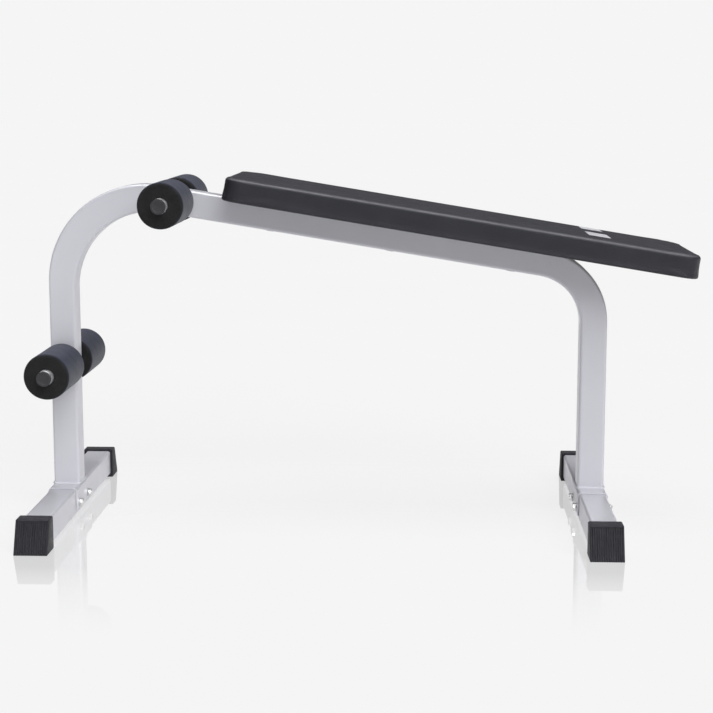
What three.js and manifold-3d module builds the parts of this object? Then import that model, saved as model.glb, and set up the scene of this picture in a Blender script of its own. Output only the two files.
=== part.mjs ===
// A sit-up bench: one bent square tube on two cross feet, a padded board on its slope,
// and two rods that carry foam rollers for the ankles and the knees.
// Millimetres. X runs from the roller end to the low end, Y across, Z up.
// The origin is on the floor, under the middle of the bench.
import * as THREE from "three";
import { mergeVertices } from "three/addons/utils/BufferGeometryUtils.js";
import Module from "manifold-3d";

const wasm = await Module();
wasm.setup();

// ---------------------------------------------------------------- driving dimensions

const GAP = 0.3; // between two pieces that touch
const LARGE_SIDES = 24; // sides of rods, bores and rollers
const SMALL_SIDES = 12; // sides of bolts, washers and screws

// Main frame: a square tube, bent twice
const TUBE = 50;
const TUBE_WALL = 2;
const TUBE_CORNER = 5;
const LEG_SPACING = 1008; // centre line to centre line
const SLOPE = THREE.MathUtils.degToRad(9.3);
const CROWN_HEIGHT = 638; // where the slope's centre line would meet the left leg's
const LEFT_BEND = { outer: 186, inner: 148 };
const RIGHT_BEND = { outer: 139, inner: 94 };

// Cross feet: square tubes across the bench
const FOOT_TUBE = 50;
const FOOT_WALL = 2;
const FOOT_CORNER = 5;
const FOOT_LENGTH = 604;

// Rubber caps on the ends of the cross feet
const CAP_WALL = 4;
const CAP_SOLE = 5;
const CAP_CORNER = 4;
const CAP_GRIP = 20; // how far the cap reaches over the tube
const CAP_TOP_END = 8; // thickness of the end wall at the top
const CAP_TOE = 26; // how much further the bottom of the end wall stands out
const RIB_COUNT = 14;
const RIB_DEPTH = 1.2;

// Saddles: pressed channels that are welded under the legs and bolted over the cross feet
const SADDLE_WALL = 2.5;
const SADDLE_LENGTH = 130;
const SADDLE_DEPTH = 42; // down the sides of the cross foot
const SADDLE_BOLT_SPACING = 80;
const SADDLE_BOLT_DROP = 31; // below the top of the cross foot

// M8 bolts, washers and lock nuts
const BOLT = 8;
const BOLT_HOLE = 9;
const BOLT_FLATS = 13;
const BOLT_HEAD = 5.3;
const WASHER_DIAMETER = 17;
const WASHER_THICKNESS = 1.6;
const NUT_HEIGHT = 8;
const THREAD_PROUD = 2;

// Rods and foam rollers
const ROD = 28;
const ROD_WALL = 1.5;
const ROD_PROUD = 16; // how far a rod stands out of its roller
const UPPER_ROD_ALONG = 217; // along the slope from the left leg's centre line
const LOWER_ROD_HEIGHT = 291;
const ROLLER_DIAMETER = 85;
const ROLLER_LENGTH = 142;
const ROLLER_EDGE = 5;
const ROLLER_OFFSET = 10; // from the side of the frame tube
const ROLLER_CLEARANCE = 0.6; // between rod and bore
const BUSH_SLEEVE = 1.6;
const BUSH_FLANGE = 5; // wider than the sleeve, all round
const BUSH_FLANGE_THICKNESS = 3;
const BUSH_DEPTH = 10; // inside the frame tube
const PLUG_HEAD = 3;
const PLUG_STEM = 14;
const SCREW = 6;
const SCREW_HOLE = 7;
const SCREW_HEAD_DIAMETER = 11;
const SCREW_HEAD = 3.5;

// Padded board
const PAD_START = 316; // along the slope from the left leg's centre line
const PAD_LENGTH = 882;
const PAD_WIDTH = 300;
const PAD_THICKNESS = 44;
const PAD_CORNER = 35; // seen from above
const PAD_EDGE = 8; // seen from the side
const COVER_WALL = 1.5;
const COVER_HEM = 26; // the strip that is folded under the board
const BOARD_THICKNESS = 12;
const BOARD_MARGIN = 3; // between the board's edge and the inside of the cover

// Pad bolts: heads inside the frame tube, tee nuts in the board
const PAD_BOLT_COUNT = 3;
const PAD_BOLT_INSET = 90; // from the board's left end
const PAD_BOLT_PITCH = 230;
const TEE_NUT_FLANGE = 20;
const TEE_NUT_FLANGE_THICKNESS = 1.6;
const TEE_NUT_BARREL = 11;
const ACCESS_HOLE = 22; // under each pad bolt, for the socket
const ACCESS_PLUG_HEAD = 26;
const ACCESS_PLUG_HEAD_THICKNESS = 1.5;
const ACCESS_PLUG_STEM = 7;

// ---------------------------------------------------------------- finishes

function finish(color, roughness, metalness) {
  return new THREE.MeshStandardMaterial({ color, roughness, metalness });
}

const silverPaint = finish(0xc4c6cb, 0.42, 0.1);
const zinc = finish(0xd6d7da, 0.3, 0.9);
const rubber = finish(0x3a3a3e, 0.85, 0);
const foam = finish(0x43454f, 0.9, 0);
const darkPlastic = finish(0x444347, 0.5, 0);
const paleNylon = finish(0xb9b9bb, 0.55, 0);
const vinyl = finish(0x3d3e44, 0.55, 0);
const paddingFoam = finish(0xd9cfae, 0.95, 0);
const plywood = finish(0x3b3530, 0.8, 0);

// ---------------------------------------------------------------- solids

// A closed three.js geometry as a solid that can be cut and joined.
function solid(geometry) {
  const bare = geometry.clone();
  bare.deleteAttribute("normal");
  bare.deleteAttribute("uv");
  const merged = mergeVertices(bare, 1e-4);
  return new wasm.Manifold(
    new wasm.Mesh({
      numProp: 3,
      vertProperties: new Float32Array(merged.attributes.position.array),
      triVerts: new Uint32Array(merged.index.array),
    }),
  );
}

// A solid as a three.js geometry.
function geometryOf(body) {
  const mesh = body.getMesh();
  const geometry = new THREE.BufferGeometry();
  const position = new THREE.BufferAttribute(mesh.vertProperties, 3);
  geometry.setAttribute("position", position);
  geometry.setIndex(new THREE.BufferAttribute(mesh.triVerts, 1));
  geometry.computeVertexNormals();
  return geometry;
}

function cut(geometry, ...tools) {
  const whole = solid(geometry);
  return geometryOf(tools.reduce((body, tool) => body.subtract(solid(tool)), whole));
}

function join(geometry, ...others) {
  const whole = solid(geometry);
  return geometryOf(others.reduce((body, other) => body.add(solid(other)), whole));
}

// A polygon with its corners rounded. Each corner is [x, y, radius].
function roundedShape(corners, Kind = THREE.Shape) {
  const shape = new Kind();
  corners.forEach(([x, y, radius], i) => {
    const corner = new THREE.Vector2(x, y);
    if (!radius) {
      if (i === 0) shape.moveTo(x, y);
      else shape.lineTo(x, y);
      return;
    }
    const last = corners[(i + corners.length - 1) % corners.length];
    const next = corners[(i + 1) % corners.length];
    const back = new THREE.Vector2(last[0], last[1]).sub(corner).normalize();
    const ahead = new THREE.Vector2(next[0], next[1]).sub(corner).normalize();
    const halfAngle = Math.acos(back.dot(ahead)) / 2;
    const tangent = radius / Math.tan(halfAngle);
    const start = corner.clone().addScaledVector(back, tangent);
    const end = corner.clone().addScaledVector(ahead, tangent);
    const inward = back.clone().add(ahead).normalize();
    const centre = corner.clone().addScaledVector(inward, radius / Math.sin(halfAngle));
    if (i === 0) shape.moveTo(start.x, start.y);
    else shape.lineTo(start.x, start.y);
    const from = start.sub(centre).angle();
    const to = end.sub(centre).angle();
    shape.absarc(centre.x, centre.y, radius, from, to, back.cross(ahead) > 0);
  });
  shape.closePath();
  return shape;
}

function rectangle(left, right, bottom, top, radius, Kind) {
  const corners = [
    [left, bottom, radius],
    [right, bottom, radius],
    [right, top, radius],
    [left, top, radius],
  ];
  return roundedShape(corners, Kind);
}

function circle(radius, Kind = THREE.Shape) {
  return new Kind().absarc(0, 0, radius, 0, 2 * Math.PI);
}

// An outline pulled along Z from bottom to top; edge is the radius of its rims.
function slab(shape, bottom, top, { edge = 0, steps = 3, rims = 2 } = {}) {
  const geometry = new THREE.ExtrudeGeometry(shape, {
    depth: top - bottom - 2 * edge,
    bevelEnabled: edge > 0,
    bevelSize: edge,
    bevelThickness: edge,
    bevelOffset: -edge,
    bevelSegments: rims,
    curveSegments: steps,
  });
  return geometry.translate(0, 0, bottom + edge);
}

// An outline drawn in X and Z, pulled along Y to the given width about the middle.
function acrossY(shape, width, options) {
  return slab(shape, -width / 2, width / 2, options).rotateX(Math.PI / 2);
}

// An outline drawn in Y and Z, pulled along X to the given width about the middle.
function acrossX(shape, width, options) {
  const upright = slab(shape, -width / 2, width / 2, options);
  return upright.rotateY(Math.PI / 2).rotateX(Math.PI / 2);
}

// A round bar on the Z axis from bottom to top.
function bar(radius, bottom, top, sides = SMALL_SIDES) {
  const geometry = new THREE.CylinderGeometry(radius, radius, top - bottom, sides);
  return geometry.rotateX(Math.PI / 2).translate(0, 0, (bottom + top) / 2);
}

// A turned piece on the Z axis, from a closed outline of [radius, height] points.
function turned(points, sides = LARGE_SIDES) {
  const outline = [...points, points[0]].map(([r, z]) => new THREE.Vector2(r, z));
  return new THREE.LatheGeometry(outline, sides).rotateX(Math.PI / 2);
}

const alongX = (geometry) => geometry.rotateY(Math.PI / 2);
const alongY = (geometry) => geometry.rotateX(-Math.PI / 2);

function hexagon(flats) {
  const radius = flats / Math.sqrt(3);
  const corners = [0, 1, 2, 3, 4, 5].map((i) => {
    const angle = (i * Math.PI) / 3;
    return [radius * Math.cos(angle), radius * Math.sin(angle), 0];
  });
  return roundedShape(corners);
}

// ---------------------------------------------------------------- the assembly

const bench = new THREE.Group();

function addPart(parent, name, geometry, material) {
  const mesh = new THREE.Mesh(geometry, material);
  mesh.name = name;
  parent.add(mesh);
  return mesh;
}

// The slope's own frame: X down along it, Z square to it, origin above the left leg.
const slope = new THREE.Group();
slope.position.z = CROWN_HEIGHT;
slope.rotation.y = SLOPE;
bench.add(slope);

// Where a point of the slope's frame lies in X and Z.
function fromSlope(along, above) {
  const x = along * Math.cos(SLOPE) + above * Math.sin(SLOPE);
  const z = CROWN_HEIGHT - along * Math.sin(SLOPE) + above * Math.cos(SLOPE);
  return [x, z];
}

// Heights, from the floor up
const footBottom = CAP_SOLE + GAP;
const footTop = footBottom + FOOT_TUBE;
const saddleTop = footTop + GAP + SADDLE_WALL;
const legBottom = saddleTop + GAP;
const saddleBoltHeight = footTop - SADDLE_BOLT_DROP;

// ---- main frame

// The side view of the bent tube, drawn in by inset from its outside.
function frameOutline(inset, bottom) {
  const half = TUBE / 2 - inset;
  // Height of the slope's line at x, shifted square to the slope by above
  const lineHeight = (x, above) =>
    CROWN_HEIGHT - x * Math.tan(SLOPE) + above / Math.cos(SLOPE);
  const farOuter = LEG_SPACING + half;
  const farInner = LEG_SPACING - half;
  return roundedShape([
    [-half, bottom, 0],
    [half, bottom, 0],
    [half, lineHeight(half, -half), LEFT_BEND.inner + inset],
    [farInner, lineHeight(farInner, -half), RIGHT_BEND.inner + inset],
    [farInner, bottom, 0],
    [farOuter, bottom, 0],
    [farOuter, lineHeight(farOuter, half), RIGHT_BEND.outer - inset],
    [-half, lineHeight(-half, half), LEFT_BEND.outer - inset],
  ]);
}

const upperRod = fromSlope(UPPER_ROD_ALONG, 0);
const lowerRod = [0, LOWER_ROD_HEIGHT];
const rodHole = ROD / 2 + ROLLER_CLEARANCE + BUSH_SLEEVE + GAP;
const padBoltPlaces = Array.from(
  { length: PAD_BOLT_COUNT },
  (_, i) => PAD_START + PAD_BOLT_INSET + i * PAD_BOLT_PITCH,
);

function mainFrame() {
  const overrun = 2 * TUBE_CORNER; // the rounded ends are cut away
  const outside = acrossY(frameOutline(0, legBottom - overrun), TUBE, {
    edge: TUBE_CORNER,
    steps: 6,
  });
  const inside = acrossY(
    frameOutline(TUBE_WALL, legBottom - 3 * overrun),
    TUBE - 2 * TUBE_WALL,
    { edge: TUBE_CORNER - TUBE_WALL, steps: 6, rims: 1 },
  );
  const below = new THREE.BoxGeometry(2 * LEG_SPACING, 2 * TUBE, 4 * overrun);
  below.translate(LEG_SPACING / 2, 0, legBottom - 2 * overrun);
  const rodHoles = [upperRod, lowerRod].map(([x, z]) =>
    alongY(bar(rodHole, -TUBE, TUBE, LARGE_SIDES)).translate(x, 0, z),
  );
  const lowerScrewHole = alongX(bar(SCREW_HOLE / 2, -TUBE, 0));
  lowerScrewHole.translate(lowerRod[0], 0, lowerRod[1]);
  const inSlope = [bar(SCREW_HOLE / 2, -TUBE, 0).translate(UPPER_ROD_ALONG, 0, 0)];
  padBoltPlaces.forEach((along) => {
    inSlope.push(bar(BOLT_HOLE / 2, 0, TUBE).translate(along, 0, 0));
    inSlope.push(bar(ACCESS_HOLE / 2, -TUBE, 0, LARGE_SIDES).translate(along, 0, 0));
  });
  slope.updateMatrix();
  inSlope.forEach((tool) => tool.applyMatrix4(slope.matrix));
  return cut(outside, inside, below, ...rodHoles, lowerScrewHole, ...inSlope);
}

addPart(bench, "main_frame_tube", mainFrame(), silverPaint);

// ---- cross feet, saddles, caps and their bolts

const boltPlaces = { front: -SADDLE_BOLT_SPACING / 2, rear: SADDLE_BOLT_SPACING / 2 };

function boltHoles() {
  const reach = FOOT_TUBE;
  return Object.values(boltPlaces).map((y) =>
    alongX(bar(BOLT_HOLE / 2, -reach, reach)).translate(0, y, saddleBoltHeight),
  );
}

function crossFoot() {
  const half = FOOT_TUBE / 2;
  const hollow = half - FOOT_WALL;
  const section = rectangle(-half, half, footBottom, footTop, FOOT_CORNER);
  const hole = rectangle(
    -hollow,
    hollow,
    footBottom + FOOT_WALL,
    footTop - FOOT_WALL,
    FOOT_CORNER - FOOT_WALL,
    THREE.Path,
  );
  section.holes.push(hole);
  return cut(acrossY(section, FOOT_LENGTH, { steps: 2 }), ...boltHoles());
}

const saddleInside = FOOT_TUBE / 2 + GAP;
const saddleOutside = saddleInside + SADDLE_WALL;

function saddle() {
  const bottom = footTop - SADDLE_DEPTH;
  const bendInside = FOOT_CORNER + GAP;
  const section = roundedShape([
    [-saddleOutside, bottom, 0],
    [-saddleInside, bottom, 0],
    [-saddleInside, footTop + GAP, bendInside],
    [saddleInside, footTop + GAP, bendInside],
    [saddleInside, bottom, 0],
    [saddleOutside, bottom, 0],
    [saddleOutside, saddleTop, bendInside + SADDLE_WALL],
    [-saddleOutside, saddleTop, bendInside + SADDLE_WALL],
  ]);
  return cut(acrossY(section, SADDLE_LENGTH, { steps: 2 }), ...boltHoles());
}

// A cap for the end at +Y. Its end wall slopes outwards to the floor and has upright ribs.
function footCap() {
  const end = FOOT_LENGTH / 2;
  const start = end - CAP_GRIP;
  const top = footTop + GAP + CAP_WALL;
  const topEnd = end + GAP + CAP_TOP_END;
  const toe = topEnd + CAP_TOE;
  const width = FOOT_TUBE + 2 * GAP + 2 * CAP_WALL;
  const sideView = roundedShape([
    [start, 0, 0],
    [toe, 0, 0],
    [topEnd, top, CAP_CORNER],
    [start, top, 0],
  ]);
  const body = acrossX(sideView, width, { steps: 2 });
  const half = FOOT_TUBE / 2 + GAP;
  const socket = rectangle(
    -half,
    half,
    footBottom - GAP,
    footTop + GAP,
    FOOT_CORNER + GAP,
  );
  const pocket = acrossY(socket, CAP_GRIP + FOOT_TUBE + GAP, { steps: 2 });
  pocket.translate(0, end + GAP - (CAP_GRIP + FOOT_TUBE + GAP) / 2, 0);
  // Grooves between the ribs run up the sloping face
  const pitch = width / (RIB_COUNT + 1);
  const lean = Math.atan2(CAP_TOE, top);
  const grooves = Array.from({ length: RIB_COUNT }, (_, i) => {
    const groove = new THREE.BoxGeometry(pitch / 2, 2 * RIB_DEPTH, 2 * top);
    groove.rotateX(lean);
    return groove.translate((i + 1) * pitch - width / 2, (topEnd + toe) / 2, top / 2);
  });
  return cut(body, pocket, ...grooves);
}

const capGeometry = footCap();
const footGeometry = crossFoot();
const saddleGeometry = saddle();

// Distances out from the middle of a cross foot, along a bolt
const washerStart = saddleOutside + GAP;
const washerEnd = washerStart + WASHER_THICKNESS;
const headStart = washerEnd + GAP;
const nutEnd = headStart + NUT_HEIGHT;

// Fastener shapes stand on the Z axis with their head at the top.
function hexBolt(headBase, tip) {
  const head = slab(hexagon(BOLT_FLATS), headBase, headBase + BOLT_HEAD);
  return join(head, bar(BOLT / 2, tip, headBase + BOLT_HEAD / 2));
}

function ring(outer, inner, bottom, top) {
  const shape = circle(outer);
  shape.holes.push(circle(inner, THREE.Path));
  return slab(shape, bottom, top, { steps: SMALL_SIDES / 2 });
}

function lockNut(bottom, top) {
  const shape = hexagon(BOLT_FLATS);
  shape.holes.push(circle(BOLT_HOLE / 2, THREE.Path));
  const collar = ring(BOLT_FLATS / 2 - 0.5, BOLT_HOLE / 2, top - 2, top);
  return join(slab(shape, bottom, top - 2, { steps: SMALL_SIDES / 2 }), collar);
}

const footBolt = alongX(hexBolt(headStart, -(nutEnd + THREAD_PROUD)));
const footWasher = alongX(
  ring(WASHER_DIAMETER / 2, BOLT_HOLE / 2, washerStart, washerEnd),
);
const footNut = alongX(lockNut(headStart, nutEnd));

// turn is 0 where the bolt heads face +X and a half turn where they face -X
function addFoot(side, x, turn) {
  const foot = new THREE.Group();
  foot.position.x = x;
  bench.add(foot);
  addPart(foot, `${side}_cross_foot`, footGeometry, silverPaint);
  addPart(foot, `${side}_saddle`, saddleGeometry, silverPaint);
  addPart(foot, `${side}_rear_foot_cap`, capGeometry, rubber);
  const frontCap = addPart(foot, `${side}_front_foot_cap`, capGeometry, rubber);
  frontCap.rotation.z = Math.PI;
  for (const [place, y] of Object.entries(boltPlaces)) {
    const set = new THREE.Group();
    set.position.set(0, y, saddleBoltHeight);
    set.rotation.z = turn;
    foot.add(set);
    const name = `${side}_${place}_foot`;
    addPart(set, `${name}_bolt`, footBolt, zinc);
    addPart(set, `${name}_head_washer`, footWasher, zinc);
    const nutWasher = addPart(set, `${name}_nut_washer`, footWasher, zinc);
    const nut = addPart(set, `${name}_nut`, footNut, zinc);
    nutWasher.rotation.z = Math.PI;
    nut.rotation.z = Math.PI;
  }
}

addFoot("left", 0, 0);
addFoot("right", LEG_SPACING, Math.PI);

// ---- rods and rollers

const rollerStart = TUBE / 2 + ROLLER_OFFSET;
const rollerEnd = rollerStart + ROLLER_LENGTH;
const rodEnd = rollerEnd + ROD_PROUD;
const bore = ROD / 2 + ROLLER_CLEARANCE;

function rodTube() {
  const hollow = ROD / 2 - ROD_WALL;
  return alongY(
    turned([
      [hollow, -rodEnd],
      [ROD / 2, -rodEnd],
      [ROD / 2, rodEnd],
      [hollow, rodEnd],
    ]),
  );
}

// A bush for the +Y side: a flange outside the frame tube and a sleeve through its wall.
function rodBush() {
  const inner = bore;
  const sleeve = bore + BUSH_SLEEVE;
  const face = TUBE / 2 + GAP;
  return alongY(
    turned([
      [inner, TUBE / 2 - BUSH_DEPTH],
      [sleeve, TUBE / 2 - BUSH_DEPTH],
      [sleeve, face],
      [sleeve + BUSH_FLANGE, face],
      [sleeve + BUSH_FLANGE - 1, face + BUSH_FLANGE_THICKNESS],
      [inner, face + BUSH_FLANGE_THICKNESS],
    ]),
  );
}

// A plug for the +Y end of a rod: a flat head with a bevelled rim on a stem.
function rodPlug() {
  const stem = ROD / 2 - ROD_WALL - GAP;
  const face = rodEnd + GAP;
  return alongY(
    turned([
      [0, face - PLUG_STEM],
      [stem, face - PLUG_STEM],
      [stem, face],
      [ROD / 2, face],
      [ROD / 2, face + PLUG_HEAD - 1],
      [ROD / 2 - 1, face + PLUG_HEAD],
      [0, face + PLUG_HEAD],
    ]),
  );
}

// A foam roller for the +Y side, with rounded rims.
function roller() {
  const radius = ROLLER_DIAMETER / 2 - ROLLER_EDGE;
  const rim = (y, from) =>
    [0, 1, 2].map((i) => {
      const angle = from + (i * Math.PI) / 4;
      return [radius + ROLLER_EDGE * Math.cos(angle), y + ROLLER_EDGE * Math.sin(angle)];
    });
  return alongY(
    turned([
      [bore, rollerStart],
      ...rim(rollerStart + ROLLER_EDGE, -Math.PI / 2),
      ...rim(rollerEnd - ROLLER_EDGE, 0),
      [bore, rollerEnd],
    ]),
  );
}

// A retaining screw that stands on the Z axis, its head below, its tip against the rod.
function rodScrew() {
  const face = -TUBE / 2 - GAP;
  const tip = -ROD / 2 - GAP;
  const head = bar(SCREW_HEAD_DIAMETER / 2, face - SCREW_HEAD, face);
  return join(head, bar(SCREW / 2, face - SCREW_HEAD / 2, tip));
}

const rodGeometry = rodTube();
const bushGeometry = rodBush();
const plugGeometry = rodPlug();
const rollerGeometry = roller();
const screwGeometry = rodScrew();

function addRod(level, [x, z], screwTurn) {
  const rod = new THREE.Group();
  rod.position.set(x, 0, z);
  bench.add(rod);
  addPart(rod, `${level}_roller_rod`, rodGeometry, zinc);
  const screw = addPart(rod, `${level}_rod_screw`, screwGeometry, zinc);
  screw.rotation.y = screwTurn;
  for (const [place, turn] of [["rear", 0], ["front", Math.PI]]) {
    const side = new THREE.Group();
    side.rotation.z = turn;
    rod.add(side);
    addPart(side, `${level}_${place}_rod_bush`, bushGeometry, paleNylon);
    addPart(side, `${level}_${place}_rod_plug`, plugGeometry, darkPlastic);
    addPart(side, `${level}_${place}_roller`, rollerGeometry, foam);
  }
}

addRod("upper", upperRod, SLOPE);
addRod("lower", lowerRod, Math.PI / 2);

// ---- padded board, in the slope's frame

const padBottom = TUBE / 2 + GAP;
const padTop = padBottom + PAD_THICKNESS;
const boardBottom = padBottom + COVER_WALL + GAP;
const boardTop = boardBottom + BOARD_THICKNESS;

// The plan of the pad, drawn in by inset from its outside.
function padPlan(inset) {
  const half = PAD_WIDTH / 2 - inset;
  return rectangle(
    PAD_START + inset,
    PAD_START + PAD_LENGTH - inset,
    -half,
    half,
    PAD_CORNER - Math.min(inset, PAD_CORNER / 2),
  );
}

function padCover() {
  const outside = slab(padPlan(0), padBottom, padTop, { edge: PAD_EDGE, rims: 3 });
  const inside = slab(padPlan(COVER_WALL), padBottom + COVER_WALL, padTop - COVER_WALL, {
    edge: PAD_EDGE - COVER_WALL,
  });
  const opening = slab(padPlan(COVER_HEM), padBottom - PAD_EDGE, boardBottom);
  return cut(outside, inside, opening);
}

function padFoam() {
  const inset = COVER_WALL + GAP;
  const block = slab(padPlan(inset), padBottom + inset, padTop - inset, {
    edge: PAD_EDGE - inset,
  });
  const below = new THREE.BoxGeometry(PAD_LENGTH, PAD_WIDTH, PAD_THICKNESS);
  below.translate(PAD_START + PAD_LENGTH / 2, 0, boardTop + GAP - PAD_THICKNESS / 2);
  const nutRooms = padBoltPlaces.map((along) =>
    bar(TEE_NUT_FLANGE / 2 + 2 * GAP, boardTop, foamPocketTop).translate(along, 0, 0),
  );
  return cut(block, below, ...nutRooms);
}

// Each tee nut's flange lies on top of the board, in a shallow pocket of the foam.
const teeFlangeBottom = boardTop + GAP;
const teeFlangeTop = teeFlangeBottom + TEE_NUT_FLANGE_THICKNESS;
const foamPocketTop = teeFlangeTop + GAP;

function padBoard() {
  const inset = COVER_WALL + BOARD_MARGIN + GAP;
  const edge = Math.min(PAD_EDGE - inset, BOARD_THICKNESS / 2 - GAP);
  const plank = slab(padPlan(inset), boardBottom, boardTop, { edge });
  const holes = padBoltPlaces.map((along) =>
    bar(TEE_NUT_BARREL / 2 + GAP, boardBottom - 1, boardTop + 1).translate(along, 0, 0),
  );
  return cut(plank, ...holes);
}

addPart(slope, "pad_cover", padCover(), vinyl);
addPart(slope, "pad_foam", padFoam(), paddingFoam);
addPart(slope, "pad_board", padBoard(), plywood);

// The bolt's head bears on the tube's upper wall from inside, through a washer.
const padWasherTop = TUBE / 2 - TUBE_WALL - GAP;
const padWasherBottom = padWasherTop - WASHER_THICKNESS;

const padBolt = hexBolt(-padWasherBottom + GAP, -(boardTop - 1)).rotateX(Math.PI);
const padWasher = ring(
  WASHER_DIAMETER / 2,
  BOLT_HOLE / 2,
  padWasherBottom,
  padWasherTop,
);
const teeNut = join(
  ring(TEE_NUT_FLANGE / 2, BOLT_HOLE / 2, teeFlangeBottom, teeFlangeTop),
  ring(TEE_NUT_BARREL / 2, BOLT_HOLE / 2, boardBottom + 2, teeFlangeTop),
);
const plugFace = -TUBE / 2 - GAP;
const plugStem = ACCESS_HOLE / 2 - 2 * GAP;
const accessPlug = turned(
  [
    [0, plugFace - ACCESS_PLUG_HEAD_THICKNESS],
    [ACCESS_PLUG_HEAD / 2 - 1, plugFace - ACCESS_PLUG_HEAD_THICKNESS],
    [ACCESS_PLUG_HEAD / 2, plugFace],
    [plugStem, plugFace],
    [plugStem, plugFace + ACCESS_PLUG_STEM],
    [0, plugFace + ACCESS_PLUG_STEM],
  ],
  SMALL_SIDES,
);

padBoltPlaces.forEach((along, i) => {
  const set = new THREE.Group();
  set.position.x = along;
  slope.add(set);
  addPart(set, `pad_bolt_${i + 1}`, padBolt, zinc);
  addPart(set, `pad_washer_${i + 1}`, padWasher, zinc);
  addPart(set, `pad_tee_nut_${i + 1}`, teeNut, zinc);
  addPart(set, `access_plug_${i + 1}`, accessPlug, darkPlastic);
});

// Stand the bench on the floor, with the middle of its box over the origin.
bench.updateMatrixWorld(true);
const box = new THREE.Box3().setFromObject(bench, true);
const middle = box.getCenter(new THREE.Vector3());
bench.position.set(-middle.x, -middle.y, -box.min.z);

export default bench;
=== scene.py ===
# %% [markdown]
# # A sit-up bench, one finish and one piece at a time
# The bench is a single square tube, bent twice, that stands on two cross feet.
# A padded board lies on its slope, and two rods carry foam rollers for the
# ankles and the knees. The engineering model already fixes where every piece
# is, so the script begins by loading it. Each piece is then made again as a
# finer surface in the same place, or keeps its own mesh and gets a finish.

import math

import bmesh
import bpy
import numpy as np
from mathutils import Matrix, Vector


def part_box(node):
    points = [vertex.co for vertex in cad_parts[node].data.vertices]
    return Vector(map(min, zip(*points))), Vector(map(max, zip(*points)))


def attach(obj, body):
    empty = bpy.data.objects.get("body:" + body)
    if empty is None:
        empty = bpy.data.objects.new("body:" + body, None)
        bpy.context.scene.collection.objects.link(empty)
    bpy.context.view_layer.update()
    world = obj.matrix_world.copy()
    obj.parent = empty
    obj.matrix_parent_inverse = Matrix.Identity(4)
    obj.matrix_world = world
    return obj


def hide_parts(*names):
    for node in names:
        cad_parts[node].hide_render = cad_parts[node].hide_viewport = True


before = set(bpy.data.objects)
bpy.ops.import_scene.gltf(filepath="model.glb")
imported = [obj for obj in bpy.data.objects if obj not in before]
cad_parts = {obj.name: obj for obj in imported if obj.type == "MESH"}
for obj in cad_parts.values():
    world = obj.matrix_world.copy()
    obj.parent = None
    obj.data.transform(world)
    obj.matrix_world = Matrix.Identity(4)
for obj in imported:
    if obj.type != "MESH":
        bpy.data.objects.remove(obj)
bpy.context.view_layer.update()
MM = 0.001


# %% [markdown]
# ## Reading the frame
# Nothing is placed by eye. The middle of a rod, the height of a foot and the
# tilt of the slope all come from the boxes of the engineering nodes. The three
# pad bolts stand in a row on the slope, so the line through the first and the
# last of them gives its tilt, and the upper rod crosses its centre line.

# %% Where the main pieces are
def low(node):
    return np.array(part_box(node)[0])


def high(node):
    return np.array(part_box(node)[1])


def middle(node):
    return (low(node) + high(node)) / 2


LEG_X = {side: middle(f"{side}_cross_foot")[0] for side in ("left", "right")}
ROD = {level: middle(f"{level}_roller_rod") for level in ("upper", "lower")}
bolt_row = middle("pad_bolt_3") - middle("pad_bolt_1")
SLOPE = math.atan2(-bolt_row[2], bolt_row[0])
DOWN = np.array([math.cos(SLOPE), 0, -math.sin(SLOPE)])
ABOVE = np.array([math.sin(SLOPE), 0, math.cos(SLOPE)])
CROWN = np.array([LEG_X["left"], 0, 0])
CROWN[2] = ROD["upper"][2] + (ROD["upper"][0] - CROWN[0]) * math.tan(SLOPE)
print("slope", round(math.degrees(SLOPE), 2), "degrees, crown at", CROWN.round(4))


# %% [markdown]
# ## Camera
# The bench is seen from the side and a little from above. A long lens from
# three metres away keeps the two ends nearly the same size, as a shop's
# picture of a long object does. The camera is made first, so that every later
# piece can be looked at in the final view.

# %% Camera
camera_data = bpy.data.cameras.new("camera")
camera_data.lens = 83.0
camera_data.clip_end = 200
camera = bpy.data.objects.new("camera", camera_data)
camera.location = (LEG_X["left"] + 0.6859, -3.106, 0.7887)
camera.rotation_euler = (math.radians(81.17), 0, math.radians(2.33))
bpy.context.scene.collection.objects.link(camera)
bpy.context.scene.camera = camera
print("camera", tuple(camera.location), "lens", camera_data.lens)


# %% [markdown]
# ## Small helpers for meshes
# Almost every piece is a grid: rows of points, each row a closed ring. A ring
# that shrinks to one point closes the end of a bar, and rows that join up
# again make a pipe with a wall. Numpy works out the whole grid at once, and
# one function turns it into faces. Merging the points that meet closes the
# seams and the poles, and after that the faces can be turned outwards.

# %% Grids to meshes
def skin(grid, along=False, around=True):
    """Points and four-sided faces of a grid, rows by columns.

    around joins the last column to the first, along the last row to the first.
    """
    rows, columns = grid.shape[:2]
    here = np.arange(rows * columns).reshape(rows, columns)
    right = np.roll(here, -1, axis=1)
    ahead = np.roll(here, -1, axis=0)
    faces = np.stack([here, right, np.roll(right, -1, axis=0), ahead], axis=-1)
    faces = faces if around else faces[:, :-1]
    faces = faces if along else faces[:-1]
    return grid.reshape(-1, 3), faces.reshape(-1, 4)


def joined(shells):
    """Several shells as one: the points end to end, each face's numbers moved up."""
    starts = np.cumsum([0] + [len(points) for points, _ in shells[:-1]])
    faces = [f + start for (_, f), start in zip(shells, starts)]
    return np.concatenate([p for p, _ in shells]), np.concatenate(faces)


def make_mesh(name, *shells, sharp=32, merge=0.004 * MM):
    """A mesh of the shells, merged where they meet, smooth up to the sharp angle."""
    points, faces = joined(shells)
    mesh = bpy.data.meshes.new(name)
    mesh.from_pydata(points.tolist(), [], faces.tolist())
    work = bmesh.new()
    work.from_mesh(mesh)
    bmesh.ops.remove_doubles(work, verts=work.verts, dist=merge)
    bmesh.ops.dissolve_degenerate(work, edges=work.edges, dist=merge)
    bmesh.ops.recalc_face_normals(work, faces=work.faces)
    work.to_mesh(mesh)
    work.free()
    return smoothed(mesh, sharp)


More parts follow.
